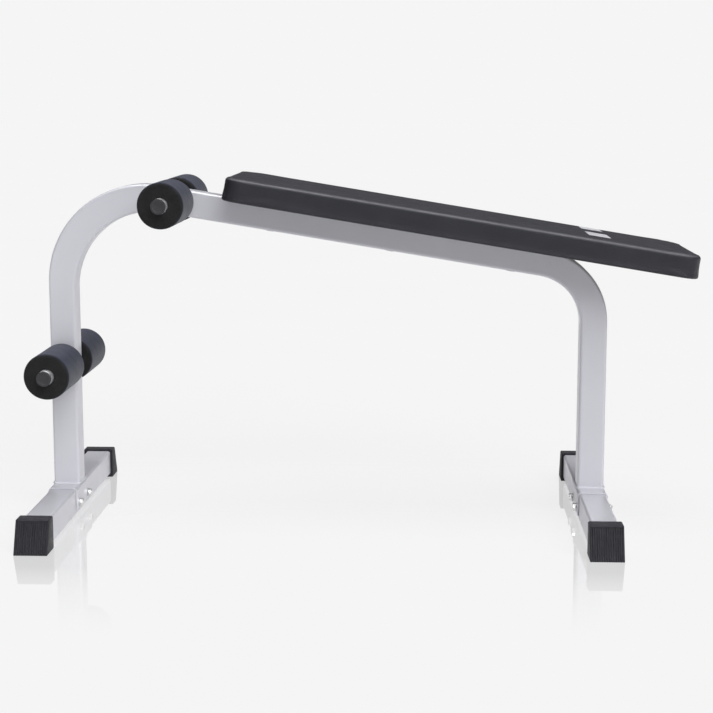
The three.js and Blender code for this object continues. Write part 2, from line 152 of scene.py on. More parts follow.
def smoothed(mesh, sharp=32):
    mesh.shade_smooth()
    mesh.set_sharp_from_angle(angle=math.radians(sharp))
    return mesh


def add_piece(name, mesh, material, slot, *nodes, body="bench"):
    """An object for the mesh that rides on a body and stands for some nodes."""
    made = bpy.data.objects.new(name, mesh)
    bpy.context.scene.collection.objects.link(made)
    if not mesh.materials:
        mesh.materials.append(material)
    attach(made, body)
    if nodes:
        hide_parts(*nodes)
    return made


# %% [markdown]
# A modifier can cut or refine a mesh, but the finished piece should be a plain
# mesh. Asking for the evaluated object gives the mesh with its modifiers done,
# and the working object can then be thrown away.

# %% Modifiers, applied at once
def with_modifiers(mesh, *modifiers):
    """The mesh after each modifier, given as (kind, settings), has been applied."""
    worker = bpy.data.objects.new("worker", mesh)
    bpy.context.scene.collection.objects.link(worker)
    for kind, settings in modifiers:
        modifier = worker.modifiers.new(kind.lower(), kind)
        for key, value in settings.items():
            setattr(modifier, key, value)
    shown = worker.evaluated_get(bpy.context.evaluated_depsgraph_get())
    result = bpy.data.meshes.new_from_object(shown)
    result.name = mesh.name
    bpy.data.objects.remove(worker)
    return result


def cut_by(mesh, cutter_mesh):
    """The mesh with the cutter's closed shells taken out of it."""
    cutter = bpy.data.objects.new("cutter", cutter_mesh)
    bpy.context.scene.collection.objects.link(cutter)
    settings = {"object": cutter, "operation": "DIFFERENCE", "solver": "EXACT"}
    result = with_modifiers(mesh, ("BOOLEAN", settings))
    bpy.data.objects.remove(cutter)
    return result


# %% [markdown]
# ## Turned pieces
# Rods, rollers, washers, plugs, bolts and nuts all come from a lathe: an
# outline of radius and height, turned about an axis. The same function makes
# a hexagon, because a hexagon is only a limit on the radius at each angle,
# and a screw thread, because a thread is a wave that climbs by one pitch in
# each turn. Where the cone of a chamfer meets the hexagon's limit, the curved
# corner marks of a real bolt head appear by themselves.

# %% Turning an outline
PLAIN, HEXAGON, THREAD = 0, 1, 2
THREAD_PITCH = 1.25 * MM
THREAD_DEPTH = 0.55 * MM


def turned(outline, centre, axis, sides=72, flats=0.0, closed=False):
    """Rings of radius r at height h about an axis: centre + h axis + r (u cos a + v sin a).

    A row of outline is (r, h) or (r, h, kind). HEXAGON rows are held inside
    flats / (2 cos of the angle from the nearest flat); THREAD rows lose a
    triangle wave of h / pitch - a / turn.
    """
    rows = np.array([(*row, PLAIN)[:3] for row in outline], float)
    axis = np.array(axis, float) / np.linalg.norm(axis)
    across = np.cross(axis, [0.0, 1.0, 0.0] if abs(axis[1]) < 0.9 else [1.0, 0, 0])
    across /= np.linalg.norm(across)
    other = np.cross(axis, across)
    angle = np.arange(sides) * 2 * np.pi / sides
    radius = np.repeat(rows[:, :1], sides, axis=1)
    height, kind = rows[:, 1:2], rows[:, 2:3]
    if flats:
        off_flat = (angle + np.pi / 6) % (np.pi / 3) - np.pi / 6
        radius = np.where(
            kind == HEXAGON, np.minimum(radius, flats / 2 / np.cos(off_flat)), radius
        )
    wave = np.abs((height / THREAD_PITCH - angle / (2 * np.pi)) % 1 - 0.5) * 2
    radius = np.where(kind == THREAD, radius - THREAD_DEPTH * wave, radius)
    ring = np.cos(angle)[:, None] * across + np.sin(angle)[:, None] * other
    grid = radius[:, :, None] * ring[None] + height[:, :, None] * axis
    return skin(grid + np.array(centre, float), along=closed)


def arc(centre, radius, start, end, steps):
    """Points of an arc in the outline's plane, angles in degrees from the radius axis."""
    angle = np.radians(np.linspace(start, end, steps + 1))
    return [
        (centre[0] + radius * c, centre[1] + radius * s)
        for c, s in zip(np.cos(angle), np.sin(angle))
    ]


print("turning tools ready")


# %% [markdown]
# ## Small helpers for materials
# A finish is a tree of nodes. Writing the tree by hand takes four lines a
# node, so one helper adds a node, fills its sockets with values or links, and
# gives it back. Effects that several finishes share are node groups: they put
# out masks and heights only, and the shader itself stays in each material.

# %% Node helpers
def add(tree, kind, inputs=None, **settings):
    """A node in the tree; an input is a plain value or another node's output."""
    made = tree.nodes.new(kind)
    for key, value in settings.items():
        setattr(made, key, value)
    for key, value in (inputs or {}).items():
        if isinstance(value, bpy.types.NodeSocket):
            tree.links.new(value, made.inputs[key])
        else:
            made.inputs[key].default_value = value
    return made


def maths(tree, operation, *values, clamp=False):
    inputs = dict(enumerate(values))
    made = add(tree, "ShaderNodeMath", inputs, operation=operation, use_clamp=clamp)
    return made.outputs[0]


def object_place(tree):
    return add(tree, "ShaderNodeTexCoord").outputs["Object"]


def stretch(tree, value, from_low, from_high, to_low=0.0, to_high=1.0):
    inputs = {
        "Value": value,
        "From Min": from_low,
        "From Max": from_high,
        "To Min": to_low,
        "To Max": to_high,
    }
    return add(tree, "ShaderNodeMapRange", inputs).outputs["Result"]


def mixed(tree, factor, first, second, blend="MIX"):
    inputs = {0: factor, 6: first, 7: second}
    made = add(tree, "ShaderNodeMix", inputs, data_type="RGBA", blend_type=blend)
    return made.outputs[2]


def clouds(tree, place, scale, detail=2.0, distortion=0.0):
    """A cloudy pattern with values about one half."""
    inputs = {"Vector": place, "Scale": scale, "Detail": detail, "Distortion": distortion}
    return add(tree, "ShaderNodeTexNoise", inputs).outputs["Fac"]


def vector_maths(tree, operation, first, second, output="Value"):
    made = add(tree, "ShaderNodeVectorMath", {0: first, 1: second}, operation=operation)
    return made.outputs[output]


def effect(name, inputs, output):
    """An empty node group with number inputs and one number output."""
    tree = bpy.data.node_groups.new(name, "ShaderNodeTree")
    for label, value in inputs.items():
        kind = "NodeSocketFloat"
        socket = tree.interface.new_socket(label, in_out="INPUT", socket_type=kind)
        socket.default_value = value
    tree.interface.new_socket(output, in_out="OUTPUT", socket_type="NodeSocketFloat")
    return tree, add(tree, "NodeGroupInput").outputs, add(tree, "NodeGroupOutput")


def use(tree, group, **values):
    """The output of a group placed in the tree with its own values."""
    made = add(tree, "ShaderNodeGroup")
    made.node_tree = group
    for key, value in values.items():
        if isinstance(value, bpy.types.NodeSocket):
            tree.links.new(value, made.inputs[key])
        else:
            made.inputs[key].default_value = value
    return made.outputs[0]


# %% [markdown]
# ### Unevenness
# No real coat is the same all over. This group is a slow noise, stretched
# between two values, for tones and for roughness.

# %% Group: uneven
uneven, given, result = effect("uneven", {"Scale": 8, "Low": 0, "High": 1}, "Value")
slow = clouds(uneven, object_place(uneven), given["Scale"], detail=4.0)
spread = stretch(uneven, slow, 0.3, 0.7, given["Low"], given["High"])
uneven.links.new(spread, result.inputs[0])
print("group:", uneven.name)

# %% [markdown]
# ### Worn edges
# Handling polishes and chips a coat first where it turns a corner. A Bevel
# node looks at the surface a little way around each point, so its normal
# leans away from the true one near an edge. The dot product of the two finds
# the edges, and a noise breaks them up, because wear is never an even line.

# %% Group: worn edges
worn_edges, given, result = effect(
    "worn edges", {"Radius": 0.0015, "Scale": 120, "Amount": 1}, "Mask"
)
soft = add(worn_edges, "ShaderNodeBevel", {"Radius": given["Radius"]}, samples=4)
true = add(worn_edges, "ShaderNodeNewGeometry").outputs["Normal"]
facing = vector_maths(worn_edges, "DOT_PRODUCT", soft.outputs["Normal"], true)
edge = stretch(worn_edges, facing, 0.995, 0.90)
chips = clouds(worn_edges, object_place(worn_edges), given["Scale"], detail=5.0)
broken = stretch(worn_edges, chips, 0.42, 0.62)
mask = maths(worn_edges, "MULTIPLY", edge, broken)
mask = maths(worn_edges, "MULTIPLY", mask, given["Amount"], clamp=True)
worn_edges.links.new(mask, result.inputs[0])
print("group:", worn_edges.name)

# %% [markdown]
# ### Dust
# A little dust settles on whatever faces up. The height part of the surface's
# normal says how far a point faces up, and a fine noise makes it patchy.

# %% Group: settled dust
settled_dust, given, result = effect("settled dust", {"Amount": 0.1, "Scale": 60}, "Mask")
normal = add(settled_dust, "ShaderNodeNewGeometry").outputs["Normal"]
height = add(settled_dust, "ShaderNodeSeparateXYZ", {0: normal}).outputs["Z"]
upward = stretch(settled_dust, height, 0.5, 1.0)
drifts = clouds(settled_dust, object_place(settled_dust), given["Scale"], detail=8.0)
patchy = stretch(settled_dust, drifts, 0.35, 0.75)
mask = maths(settled_dust, "MULTIPLY", upward, patchy)
mask = maths(settled_dust, "MULTIPLY", mask, given["Amount"], clamp=True)
settled_dust.links.new(mask, result.inputs[0])
print("group:", settled_dust.name)

# %% [markdown]
# ### Pebbles
# Powder paint, moulded rubber, foam and artificial leather all have a surface
# of small cells, only at different sizes. A Voronoi pattern gives the cells
# and a finer noise roughens them; the group puts out a height for a Bump node.

# %% Group: pebbles
pebbles, given, result = effect("pebbles", {"Scale": 900, "Fine": 0.3}, "Height")
place = object_place(pebbles)
cells = add(
    pebbles,
    "ShaderNodeTexVoronoi",
    {"Vector": place, "Scale": given["Scale"], "Randomness": 1.0},
    feature="SMOOTH_F1",
).outputs["Distance"]
fine_scale = maths(pebbles, "MULTIPLY", given["Scale"], 2.7)
fine = maths(pebbles, "MULTIPLY", clouds(pebbles, place, fine_scale), given["Fine"])
total = maths(pebbles, "ADD", cells, fine)
pebbles.links.new(total, result.inputs[0])
print("group:", pebbles.name)


# %% [markdown]
# ## Finishes
# Each finish below is one material. The values that are the same all over the
# piece sit on the shader's own sockets; colour, roughness and bump come from
# the effects above.

# %% A material with one shader
def shader(name, fixed):
    """A new material, its node tree and its Principled shader."""
    material = bpy.data.materials.new(name)
    material.use_nodes = True
    tree = material.node_tree
    tree.nodes.clear()
    principled = add(tree, "ShaderNodeBsdfPrincipled", fixed)
    add(tree, "ShaderNodeOutputMaterial", {"Surface": principled.outputs["BSDF"]})
    return material, tree, principled


def feed(tree, principled, **sources):
    """Links sources to the shader; an underscore in a name stands for a space."""
    for key, source in sources.items():
        tree.links.new(source, principled.inputs[key.replace("_", " ")])


def bump(tree, height, depth, strength=1.0, under=None):
    inputs = {"Height": height, "Distance": depth, "Strength": strength}
    if under:
        inputs["Normal"] = under
    return add(tree, "ShaderNodeBump", inputs).outputs["Normal"]


def grey(level, blue=1.0):
    """A grey of that linear level, a little bluer where blue is over 1."""
    return (level, level, level * blue, 1.0)


# %% [markdown]
# ### Silver powder paint
# The tube, the feet and the saddles are sprayed with a light grey powder that
# holds fine metal flakes, then baked. Three things show up close: the
# orange-peel of the melted powder, a glitter of flakes, and edges rubbed a
# little brighter. A slow tone change keeps the long flats from looking flat.

# %% Finish: silver paint
silver_paint, tree, principled = shader(
    "silver_paint",
    {"Metallic": 0.15, "Coat Weight": 0.25, "Coat Roughness": 0.22, "IOR": 1.5},
)
flakes = add(
    tree, "ShaderNodeTexVoronoi", {"Vector": object_place(tree), "Scale": 1900.0}
).outputs["Color"]
flakes = add(tree, "ShaderNodeSeparateXYZ", {0: flakes}).outputs["X"]
tone = mixed(tree, use(tree, uneven, Scale=5.0), grey(0.640, 1.09), grey(0.672, 1.08))
tone = mixed(tree, stretch(tree, flakes, 0.9, 1.0, 0, 0.25), tone, grey(0.80, 1.05))
wear = use(tree, worn_edges, Radius=1.6 * MM, Scale=160.0, Amount=0.5)
tone = mixed(tree, wear, tone, grey(0.74, 1.04))
tone = mixed(tree, use(tree, settled_dust, Amount=0.08, Scale=70.0), tone, grey(0.66))
rough = use(tree, uneven, Scale=22.0, Low=0.36, High=0.48)
peel = use(tree, pebbles, Scale=420.0, Fine=0.4)
feed(
    tree,
    principled,
    Base_Color=tone,
    Roughness=rough,
    Normal=bump(tree, peel, 0.10 * MM, 0.35),
)
print("finish:", silver_paint.name)

# %% [markdown]
# ### Zinc plate
# Bolts, nuts, washers and staples are plated with zinc: a pale metal with a
# faint blue or yellow haze, a cloudy roughness and fine scratches.

# %% Finish: zinc plate
zinc_plate, tree, principled = shader("zinc_plate", {"Metallic": 1.0})
haze = use(tree, uneven, Scale=260.0)
tone = mixed(tree, haze, (0.66, 0.67, 0.70, 1), (0.76, 0.75, 0.72, 1))
wear = use(tree, worn_edges, Radius=0.5 * MM, Scale=700.0, Amount=0.8)
tone = mixed(tree, wear, tone, grey(0.88))
rough = use(tree, uneven, Scale=420.0, Low=0.20, High=0.38)
scratches = clouds(tree, object_place(tree), 2600.0, detail=3.0, distortion=1.5)
feed(
    tree,
    principled,
    Base_Color=tone,
    Roughness=rough,
    Normal=bump(tree, scratches, 0.03 * MM, 0.4),
)
print("finish:", zinc_plate.name)

# %% [markdown]
# ### Bright rod
# The roller rods are drawn steel tube with a bright plating. Drawing leaves
# hair lines along the tube, so the pattern is noise squeezed across the rod
# and stretched along it, which is along Y.

# %% Finish: bright rod
bright_rod, tree, principled = shader("bright_rod", {"Metallic": 0.75})
stretched = add(
    tree, "ShaderNodeMapping", {"Vector": object_place(tree), "Scale": (1.0, 0.02, 1.0)}
).outputs["Vector"]
lines = clouds(tree, stretched, 2400.0, detail=3.0)
tone = mixed(tree, use(tree, uneven, Scale=60.0), grey(0.86, 1.02), grey(0.93, 1.02))
rough = use(tree, uneven, Scale=90.0, Low=0.30, High=0.38)
rough = maths(tree, "ADD", rough, maths(tree, "MULTIPLY", lines, 0.08))
feed(
    tree,
    principled,
    Base_Color=tone,
    Roughness=rough,
    Normal=bump(tree, lines, 0.02 * MM, 0.35),
)
print("finish:", bright_rod.name)

# %% [markdown]
# ### Foot rubber
# The caps under the bench are soft black rubber, moulded in a tool with a
# matt, spark-eroded surface. Rubber picks up dust and scuffs grey on its
# edges, where it drags over the floor.

# %% Finish: foot rubber
foot_rubber, tree, principled = shader(
    "foot_rubber", {"Specular IOR Level": 0.25, "Sheen Weight": 0.05, "Sheen Roughness": 0.5}
)
tone = mixed(tree, use(tree, uneven, Scale=40.0), grey(0.017, 1.22), grey(0.024, 1.25))
wear = use(tree, worn_edges, Radius=0.9 * MM, Scale=300.0, Amount=0.5)
tone = mixed(tree, wear, tone, grey(0.075, 1.1))
tone = mixed(tree, use(tree, settled_dust, Amount=0.02, Scale=150.0), tone, grey(0.2))
rough = use(tree, uneven, Scale=120.0, Low=0.55, High=0.74)
pores = use(tree, pebbles, Scale=1500.0, Fine=0.5)
feed(
    tree,
    principled,
    Base_Color=tone,
    Roughness=rough,
    Normal=bump(tree, pores, 0.08 * MM, 0.5),
)
print("finish:", foot_rubber.name)

# %% [markdown]
# ### Roller foam
# The rollers are closed-cell foam. Its outside has a smooth skin from the
# mould, which catches light at a glancing angle like felt, so the shader's
# sheen is turned up. The ends are cut with a knife: the cells are open there,
# and the cut face is darker and rougher. The object's own normal along Y
# tells the two apart, and it turns with the roller.

# %% Finish: roller foam
roller_foam, tree, principled = shader(
    "roller_foam",
    {"Specular IOR Level": 0.3, "Sheen Weight": 0.12, "Sheen Roughness": 0.35},
)
coordinates = add(tree, "ShaderNodeTexCoord")
along_rod = add(tree, "ShaderNodeSeparateXYZ", {0: coordinates.outputs["Normal"]})
cut_end = maths(tree, "ABSOLUTE", along_rod.outputs["Y"])
cut_end = stretch(tree, cut_end, 0.25, 0.80)
skin_tone = mixed(
    tree, use(tree, uneven, Scale=30.0), (0.022, 0.025, 0.042, 1), (0.030, 0.034, 0.056, 1)
)
cut_tone = mixed(tree, use(tree, uneven, Scale=400.0), grey(0.008), grey(0.013, 1.1))
tone = mixed(tree, cut_end, skin_tone, cut_tone)
tone = mixed(tree, use(tree, settled_dust, Amount=0.03, Scale=90.0), tone, grey(0.22))
rough = use(tree, uneven, Scale=60.0, Low=0.55, High=0.7)
rough = maths(tree, "ADD", rough, maths(tree, "MULTIPLY", cut_end, 0.2))
foam_cells = use(tree, pebbles, Scale=1100.0, Fine=0.6)
skin_bump = bump(tree, foam_cells, 0.10 * MM, 0.45)
large_cells = add(
    tree,
    "ShaderNodeTexVoronoi",
    {"Vector": coordinates.outputs["Object"], "Scale": 520.0, "Randomness": 1.0},
).outputs["Distance"]
open_cells = maths(tree, "MULTIPLY", large_cells, cut_end)
feed(
    tree,
    principled,
    Base_Color=tone,
    Roughness=rough,
    Normal=bump(tree, open_cells, 0.25 * MM, 0.6, under=skin_bump),
)
print("finish:", roller_foam.name)

# %% [markdown]
# ### Dark and pale plastic
# The plugs in the rods and under the tube are dark polyethylene, and the
# bushes are natural nylon. Both are moulded: an even sheen, a faint flow
# pattern in the tone, and very fine texture.

# %% Finishes: moulded plastics
def moulded(name, dark, light, rough_low, rough_high, fixed):
    """A moulded plastic between two tones, with a fine tool texture."""
    material, tree, principled = shader(name, fixed)
    tone = mixed(tree, use(tree, uneven, Scale=110.0), dark, light)
    wear = use(tree, worn_edges, Radius=0.5 * MM, Scale=500.0, Amount=0.4)
    tone = mixed(tree, wear, tone, tuple(min(1.6 * c, 1.0) for c in light))
    rough = use(tree, uneven, Scale=240.0, Low=rough_low, High=rough_high)
    texture = use(tree, pebbles, Scale=2100.0, Fine=0.5)
    normal = bump(tree, texture, 0.05 * MM, 0.35)
    feed(tree, principled, Base_Color=tone, Roughness=rough, Normal=normal)
    print("finish:", name)
    return material


dark_plastic = moulded(
    "dark_plastic", grey(0.032, 1.1), grey(0.042, 1.1), 0.45, 0.6, {"Specular IOR Level": 0.35}
)
pale_nylon = moulded(
    "pale_nylon",
    (0.46, 0.46, 0.45, 1),
    (0.54, 0.54, 0.52, 1),
    0.38,
    0.52,
    {"Subsurface Weight": 0.1, "Subsurface Scale": 2 * MM},
)

# %% [markdown]
# ### Black vinyl
# The pad is covered with artificial leather: a pebble grain with fine creases
# between the pebbles and a soft satin gloss. A painted highlight runs along the
# top rim, found by its height above the slope: the tone is lightened there, and
# the vinyl is also made a little glossier, as rubbed vinyl is. Two plain pale
# bars are printed across it near the low end. They are a mask worked out from
# the distance down the slope and the place across it.

# %% Finish: pad vinyl
BAR_DOWN = (0.990, 1.031)  # metres down the slope from the crown
BAR_ACROSS = {"rear": (0.062, 0.143), "front": (-0.094, -0.006)}
BAR_LOWEST = 0.050  # metres above the slope's centre line
RIM_HIGHLIGHT_AND_RUB = (0.0650, 0.0672)  # the same


def band(tree, value, start, end, edge=0.4 * MM):
    """1 between start and end, falling to 0 over the edge's width."""
    rising = stretch(tree, value, start - edge, start + edge)
    falling = stretch(tree, value, end + edge, end - edge)
    return maths(tree, "MULTIPLY", rising, falling)


pad_vinyl, tree, principled = shader("pad_vinyl", {"Specular IOR Level": 0.4})
place = object_place(tree)
from_crown = vector_maths(tree, "SUBTRACT", place, tuple(CROWN), output="Vector")
down_slope = vector_maths(tree, "DOT_PRODUCT", from_crown, tuple(DOWN))
above_slope = vector_maths(tree, "DOT_PRODUCT", from_crown, tuple(ABOVE))
across_slope = add(tree, "ShaderNodeSeparateXYZ", {0: place}).outputs["Y"]
bars = band(tree, down_slope, *BAR_DOWN)
each = [band(tree, across_slope, *BAR_ACROSS[k]) for k in ("rear", "front")]
bars = maths(tree, "MULTIPLY", bars, maths(tree, "ADD", *each))
on_top = maths(tree, "GREATER_THAN", above_slope, BAR_LOWEST)
bars = maths(tree, "MULTIPLY", bars, on_top)
base = mixed(tree, use(tree, uneven, Scale=14.0), grey(0.014, 1.34), grey(0.019, 1.36))
wear = use(tree, uneven, Scale=900.0, Low=0.0, High=0.12)
base = mixed(tree, wear, base, grey(0.06, 1.1))
base = mixed(tree, use(tree, settled_dust, Amount=0.02, Scale=120.0), base, grey(0.22))
tone = mixed(tree, bars, base, (0.62, 0.62, 0.66, 1))
grain = use(tree, pebbles, Scale=820.0, Fine=0.25)
crease_place = add(
    tree, "ShaderNodeTexNoise", {"Vector": place, "Scale": 260.0, "Detail": 2.0}
).outputs["Color"]
crease_place = mixed(tree, 0.004, place, crease_place, blend="ADD")
creases = add(
    tree,
    "ShaderNodeTexVoronoi",
    {"Vector": crease_place, "Scale": 420.0},
    feature="DISTANCE_TO_EDGE",
).outputs["Distance"]
creases = stretch(tree, creases, 0.0, 0.16)
# Painted highlight: the rim band lightens the tone along the top rim. It also lowers the roughness
# there, as real rubbing does.
rim = band(tree, above_slope, *RIM_HIGHLIGHT_AND_RUB, edge=1.0 * MM)
rim_highlight_and_rub = maths(tree, "MULTIPLY", rim, use(tree, uneven, Scale=25.0, Low=0.4, High=1.0))
tone = mixed(tree, rim_highlight_and_rub, tone, grey(0.085, 1.12))
rough = use(tree, uneven, Scale=55.0, Low=0.42, High=0.52)
rough = maths(tree, "SUBTRACT", rough, maths(tree, "MULTIPLY", rim_highlight_and_rub, 0.2))
feed(
    tree,
    principled,
    Base_Color=tone,
    Roughness=rough,
    Normal=bump(tree, creases, 0.16 * MM, 0.5, under=bump(tree, grain, 0.12 * MM, 0.5)),
)
print("finish:", pad_vinyl.name)

# %% [markdown]
# ### Plywood and filling
# The board under the pad shows from below: plywood with a dark stain, its
# grain running along the pad as long, thin streaks. The filling is cream
# foam. It is closed in by the cover and the board, but it gets its finish
# all the same.

# %% Finishes: plywood and filling
plywood, tree, principled = shader("plywood", {"Specular IOR Level": 0.3})
turned_place = add(
    tree,
    "ShaderNodeMapping",
    {
        "Vector": object_place(tree),
        "Rotation": (0.0, -SLOPE, 0.0),
        "Scale": (0.05, 1.0, 1.0),
    },
).outputs["Vector"]
streaks = clouds(tree, turned_place, 130.0, detail=7.0, distortion=0.6)
streak_mask = stretch(tree, streaks, 0.35, 0.7)
tone = mixed(tree, streak_mask, (0.060, 0.054, 0.048, 1), (0.036, 0.032, 0.028, 1))
faded = use(tree, uneven, Scale=7.0, Low=0, High=0.5)
tone = mixed(tree, faded, tone, (0.075, 0.068, 0.060, 1))
feed(
    tree,
    principled,
    Base_Color=tone,
    Roughness=use(tree, uneven, Scale=90.0, Low=0.6, High=0.8),
    Normal=bump(tree, streaks, 0.2 * MM, 0.5),
)

pad_filling, tree, principled = shader("pad_filling", {"Specular IOR Level": 0.2})
tone = mixed(tree, use(tree, uneven, Scale=35.0), (0.62, 0.56, 0.40, 1), (0.72, 0.66, 0.5, 1))
feed(
    tree,
    principled,
    Base_Color=tone,
    Roughness=use(tree, uneven, Scale=90.0, Low=0.85, High=0.95),
    Normal=bump(tree, use(tree, pebbles, Scale=700.0, Fine=0.6), 0.4 * MM, 0.7),
)
print("finishes:", plywood.name, pad_filling.name)


# %% [markdown]
# ## Outlines with round corners
# Square tube has round corners, and so have the pad and the rubber caps seen
# from above. One outline function serves them all: four quarter arcs, with an
# extra point a little way into each flat side. Those points hold the shading:
# without them the light would seem to bend over the whole flat.

# %% Round-cornered outlines
HOLD = 0.6 * MM


def corner_offsets(radius, steps, hold=HOLD):
    """Which corner each point belongs to, as signs, and its offset from that corner."""
    signs, offsets = [], []
    for quarter, sign in enumerate([(1, 1), (-1, 1), (-1, -1), (1, -1)]):
        start = quarter * np.pi / 2
        angle = start + np.linspace(0, np.pi / 2, steps + 1)
        bend = radius * np.stack([np.cos(angle), np.sin(angle)], axis=1)
        before = bend[:1] - hold * np.array([[-np.sin(start), np.cos(start)]])
        end = start + np.pi / 2
        after = bend[-1:] + hold * np.array([[-np.sin(end), np.cos(end)]])
        ring = np.concatenate([before, bend, after]) - radius * np.array(sign)
        offsets.append(ring)
        signs.append(np.tile(sign, (len(ring), 1)))
    return np.concatenate(signs), np.concatenate(offsets)


def round_outline(half_width, half_length, radius, steps=6, hold=HOLD):
    """A closed outline: each corner's place plus its arc's offsets."""
    signs, offsets = corner_offsets(radius, steps, hold)
    return signs * np.array([half_width, half_length]) + offsets


# %% [markdown]
# ## Bent square tube
# Two lines bound the tube in side view, one on the outside of the bends and
# one on the inside. A mandrel bender does not keep them concentric, so each
# has its own radii. The tube is the band between the two lines: at each step
# along it, a square section is stretched between a point of one line and the
# matching point of the other. The wall's inner skin is the same surface drawn
# in by the wall's thickness, and the rows run out along one skin and back
# along the other, which closes both cut ends.

# %% Side lines with matched bends
BEND_HOLD = 3 * MM


def side_line(corners, radii, bend_steps=44):
    """Points of a path of straight runs and arcs: ends, and for each inner corner
    a holding point, the arc from tangent to tangent, and a holding point."""
    corners = np.array(corners, float)
    points = [corners[:1]]
    for before, here, after, radius in zip(corners, corners[1:], corners[2:], radii):
        back = (before - here) / np.linalg.norm(before - here)
        ahead = (after - here) / np.linalg.norm(after - here)
        half = math.acos(float(back @ ahead)) / 2
        centre = here + (back + ahead) / np.linalg.norm(back + ahead) * radius / math.sin(half)
        start = here + back * radius / math.tan(half) - centre
        end = here + ahead * radius / math.tan(half) - centre
        turn = math.atan2(start[0] * end[1] - start[1] * end[0], float(start @ end))
        angle = math.atan2(start[1], start[0]) + np.linspace(0, turn, bend_steps + 1)
        bend = centre + radius * np.stack([np.cos(angle), np.sin(angle)], axis=1)
        points += [bend[:1] + BEND_HOLD * back, bend, bend[-1:] + BEND_HOLD * ahead]
    points.append(corners[-1:])
    return np.concatenate(points)


def tube_skin(inner_line, outer_line, width, corner, steps=6):
    """Rings of a square section between two lines of the side view.

    In a ring, s runs from the inner to the outer line and y across: a corner's
    place is s = 0 or the depth, y = plus or minus half the width.
    """
    signs, offsets = corner_offsets(corner, steps)
    step = outer_line - inner_line
    depth = np.linalg.norm(step, axis=1, keepdims=True)
    s = (signs[:, 0] + 1) / 2 * depth + offsets[:, 0]
    y = np.broadcast_to(signs[:, 1] * width / 2 + offsets[:, 1], s.shape)
    side = inner_line[:, None] + (step / depth)[:, None] * s[..., None]
    return np.stack([side[..., 0], y, side[..., 1]], axis=-1)


def pipe(outer_rows, inner_rows):
    """Out along the outer skin and back along the inner one, closed both ways."""
    return skin(np.concatenate([outer_rows, inner_rows[::-1]]), along=True)


# %% The main frame tube
TUBE = high("main_frame_tube")[1] * 2
WALL = 2 * MM
TUBE_CORNER = 5 * MM
BENDS = {"outer": (186 * MM, 139 * MM), "inner": (148 * MM, 94 * MM)}
LEG_BOTTOM = low("main_frame_tube")[2]


def frame_line(side, inset):
    """The outer or inner line of the frame, drawn in by inset."""
    sign = 1 if side == "outer" else -1
    half = TUBE / 2 - inset
    left = LEG_X["left"] - sign * half
    right = LEG_X["right"] + sign * half

    lift = sign * half / math.cos(SLOPE)
    high_end, low_end = (CROWN[2] - (x - CROWN[0]) * math.tan(SLOPE) + lift for x in (left, right))
    corners = [(left, LEG_BOTTOM), (left, high_end), (right, low_end), (right, LEG_BOTTOM)]
    return side_line(corners, [r - sign * inset for r in BENDS[side]])


def frame_rows(inset):
    return tube_skin(
        frame_line("inner", inset),
        frame_line("outer", inset),
        TUBE - 2 * inset,
        TUBE_CORNER - inset,
    )


frame_mesh = make_mesh("frame_tube", pipe(frame_rows(0), frame_rows(WALL)))
print("frame tube:", len(frame_mesh.polygons), "faces")

# %% [markdown]
# The tube is drilled where the rods, their screws and the pad bolts pass.
# One cutter mesh holds all the drills, and a Boolean takes them out together.

# %% Drill the frame tube
ROD_HOLE = 16.5 * MM
SCREW_HOLE = 3.5 * MM
ACCESS_HOLE = 11 * MM
BOLT_HOLE = 4.5 * MM
PAD_BOLTS = [float((middle(f"access_plug_{i}") - CROWN) @ DOWN) for i in (1, 2, 3)]


def drill(radius, start, end, sides=64):
    """A closed bar from start to end: two points on the axis and two rings."""
    start, end = np.array(start, float), np.array(end, float)
    length = float(np.linalg.norm(end - start))
    outline = [(0, 0), (radius, 0), (radius, length), (0, length)]
    return turned(outline, start, end - start, sides)


ACROSS = np.array([0.0, 1.0, 0.0])
SCREW_WAY = {"upper": -ABOVE, "lower": np.array([-1.0, 0, 0])}
deep, shallow = TUBE, TUBE / 4  # how far from the tube's centre line a drill reaches
drills = [drill(ROD_HOLE, c - ACROSS * deep, c + ACROSS * deep) for c in ROD.values()]
for level in ("lower", "upper"):
    way = SCREW_WAY[level]
    drills.append(drill(SCREW_HOLE, ROD[level] + way * deep, ROD[level] + way * shallow))
for s in PAD_BOLTS:
    at = CROWN + s * DOWN
    drills.append(drill(ACCESS_HOLE, at - ABOVE * deep, at - ABOVE * shallow))
    drills.append(drill(BOLT_HOLE, at + ABOVE * shallow, at + ABOVE * deep))
drilled = smoothed(cut_by(frame_mesh, make_mesh("drills", *drills)), 30)
add_piece("frame_tube", drilled, silver_paint, "silver_paint", "main_frame_tube")
print("drilled tube:", len(drilled.polygons), "faces,", len(drills), "holes")

# %% [markdown]
# ## Cross feet
# Each foot is a straight piece of the same tube. The same section and pipe
# functions make it; only the axes change, because a foot runs along Y.

# %% Cross feet
def foot_rows(node, inset):
    """Rings along Y between the foot's floor line and its top line."""
    lowest, highest = low(node), high(node)
    along = np.array([lowest[1], lowest[1] + 2 * HOLD, highest[1] - 2 * HOLD, highest[1]])
    bottom = np.stack([along, np.full(4, lowest[2] + inset)], axis=1)
    top = np.stack([along, np.full(4, highest[2] - inset)], axis=1)
    rows = tube_skin(bottom, top, TUBE - 2 * inset, TUBE_CORNER - inset)
    return rows[..., [1, 0, 2]] + np.array([middle(node)[0], 0, 0])


for side in ("left", "right"):
    node = f"{side}_cross_foot"
    mesh = make_mesh(f"{side}_foot_tube", pipe(foot_rows(node, 0), foot_rows(node, WALL)))
    add_piece(f"{side}_foot_tube", mesh, silver_paint, "silver_paint", node)
    print(node, len(mesh.polygons), "faces")

# %% [markdown]
# ## Saddles
# A saddle is a strip of 2.5 mm plate folded over the foot. A folded strip is
# a line with a thickness: its two faces lie half a thickness to either side
# of its middle line, and a half circle closes each lip. Making the thickness
# fall to nothing at the two ends rounds the rims and closes them.

# %% Saddles
PLATE = 2.5 * MM
RIM = 0.5 * MM
FOLD_RADIUS = 6.5 * MM


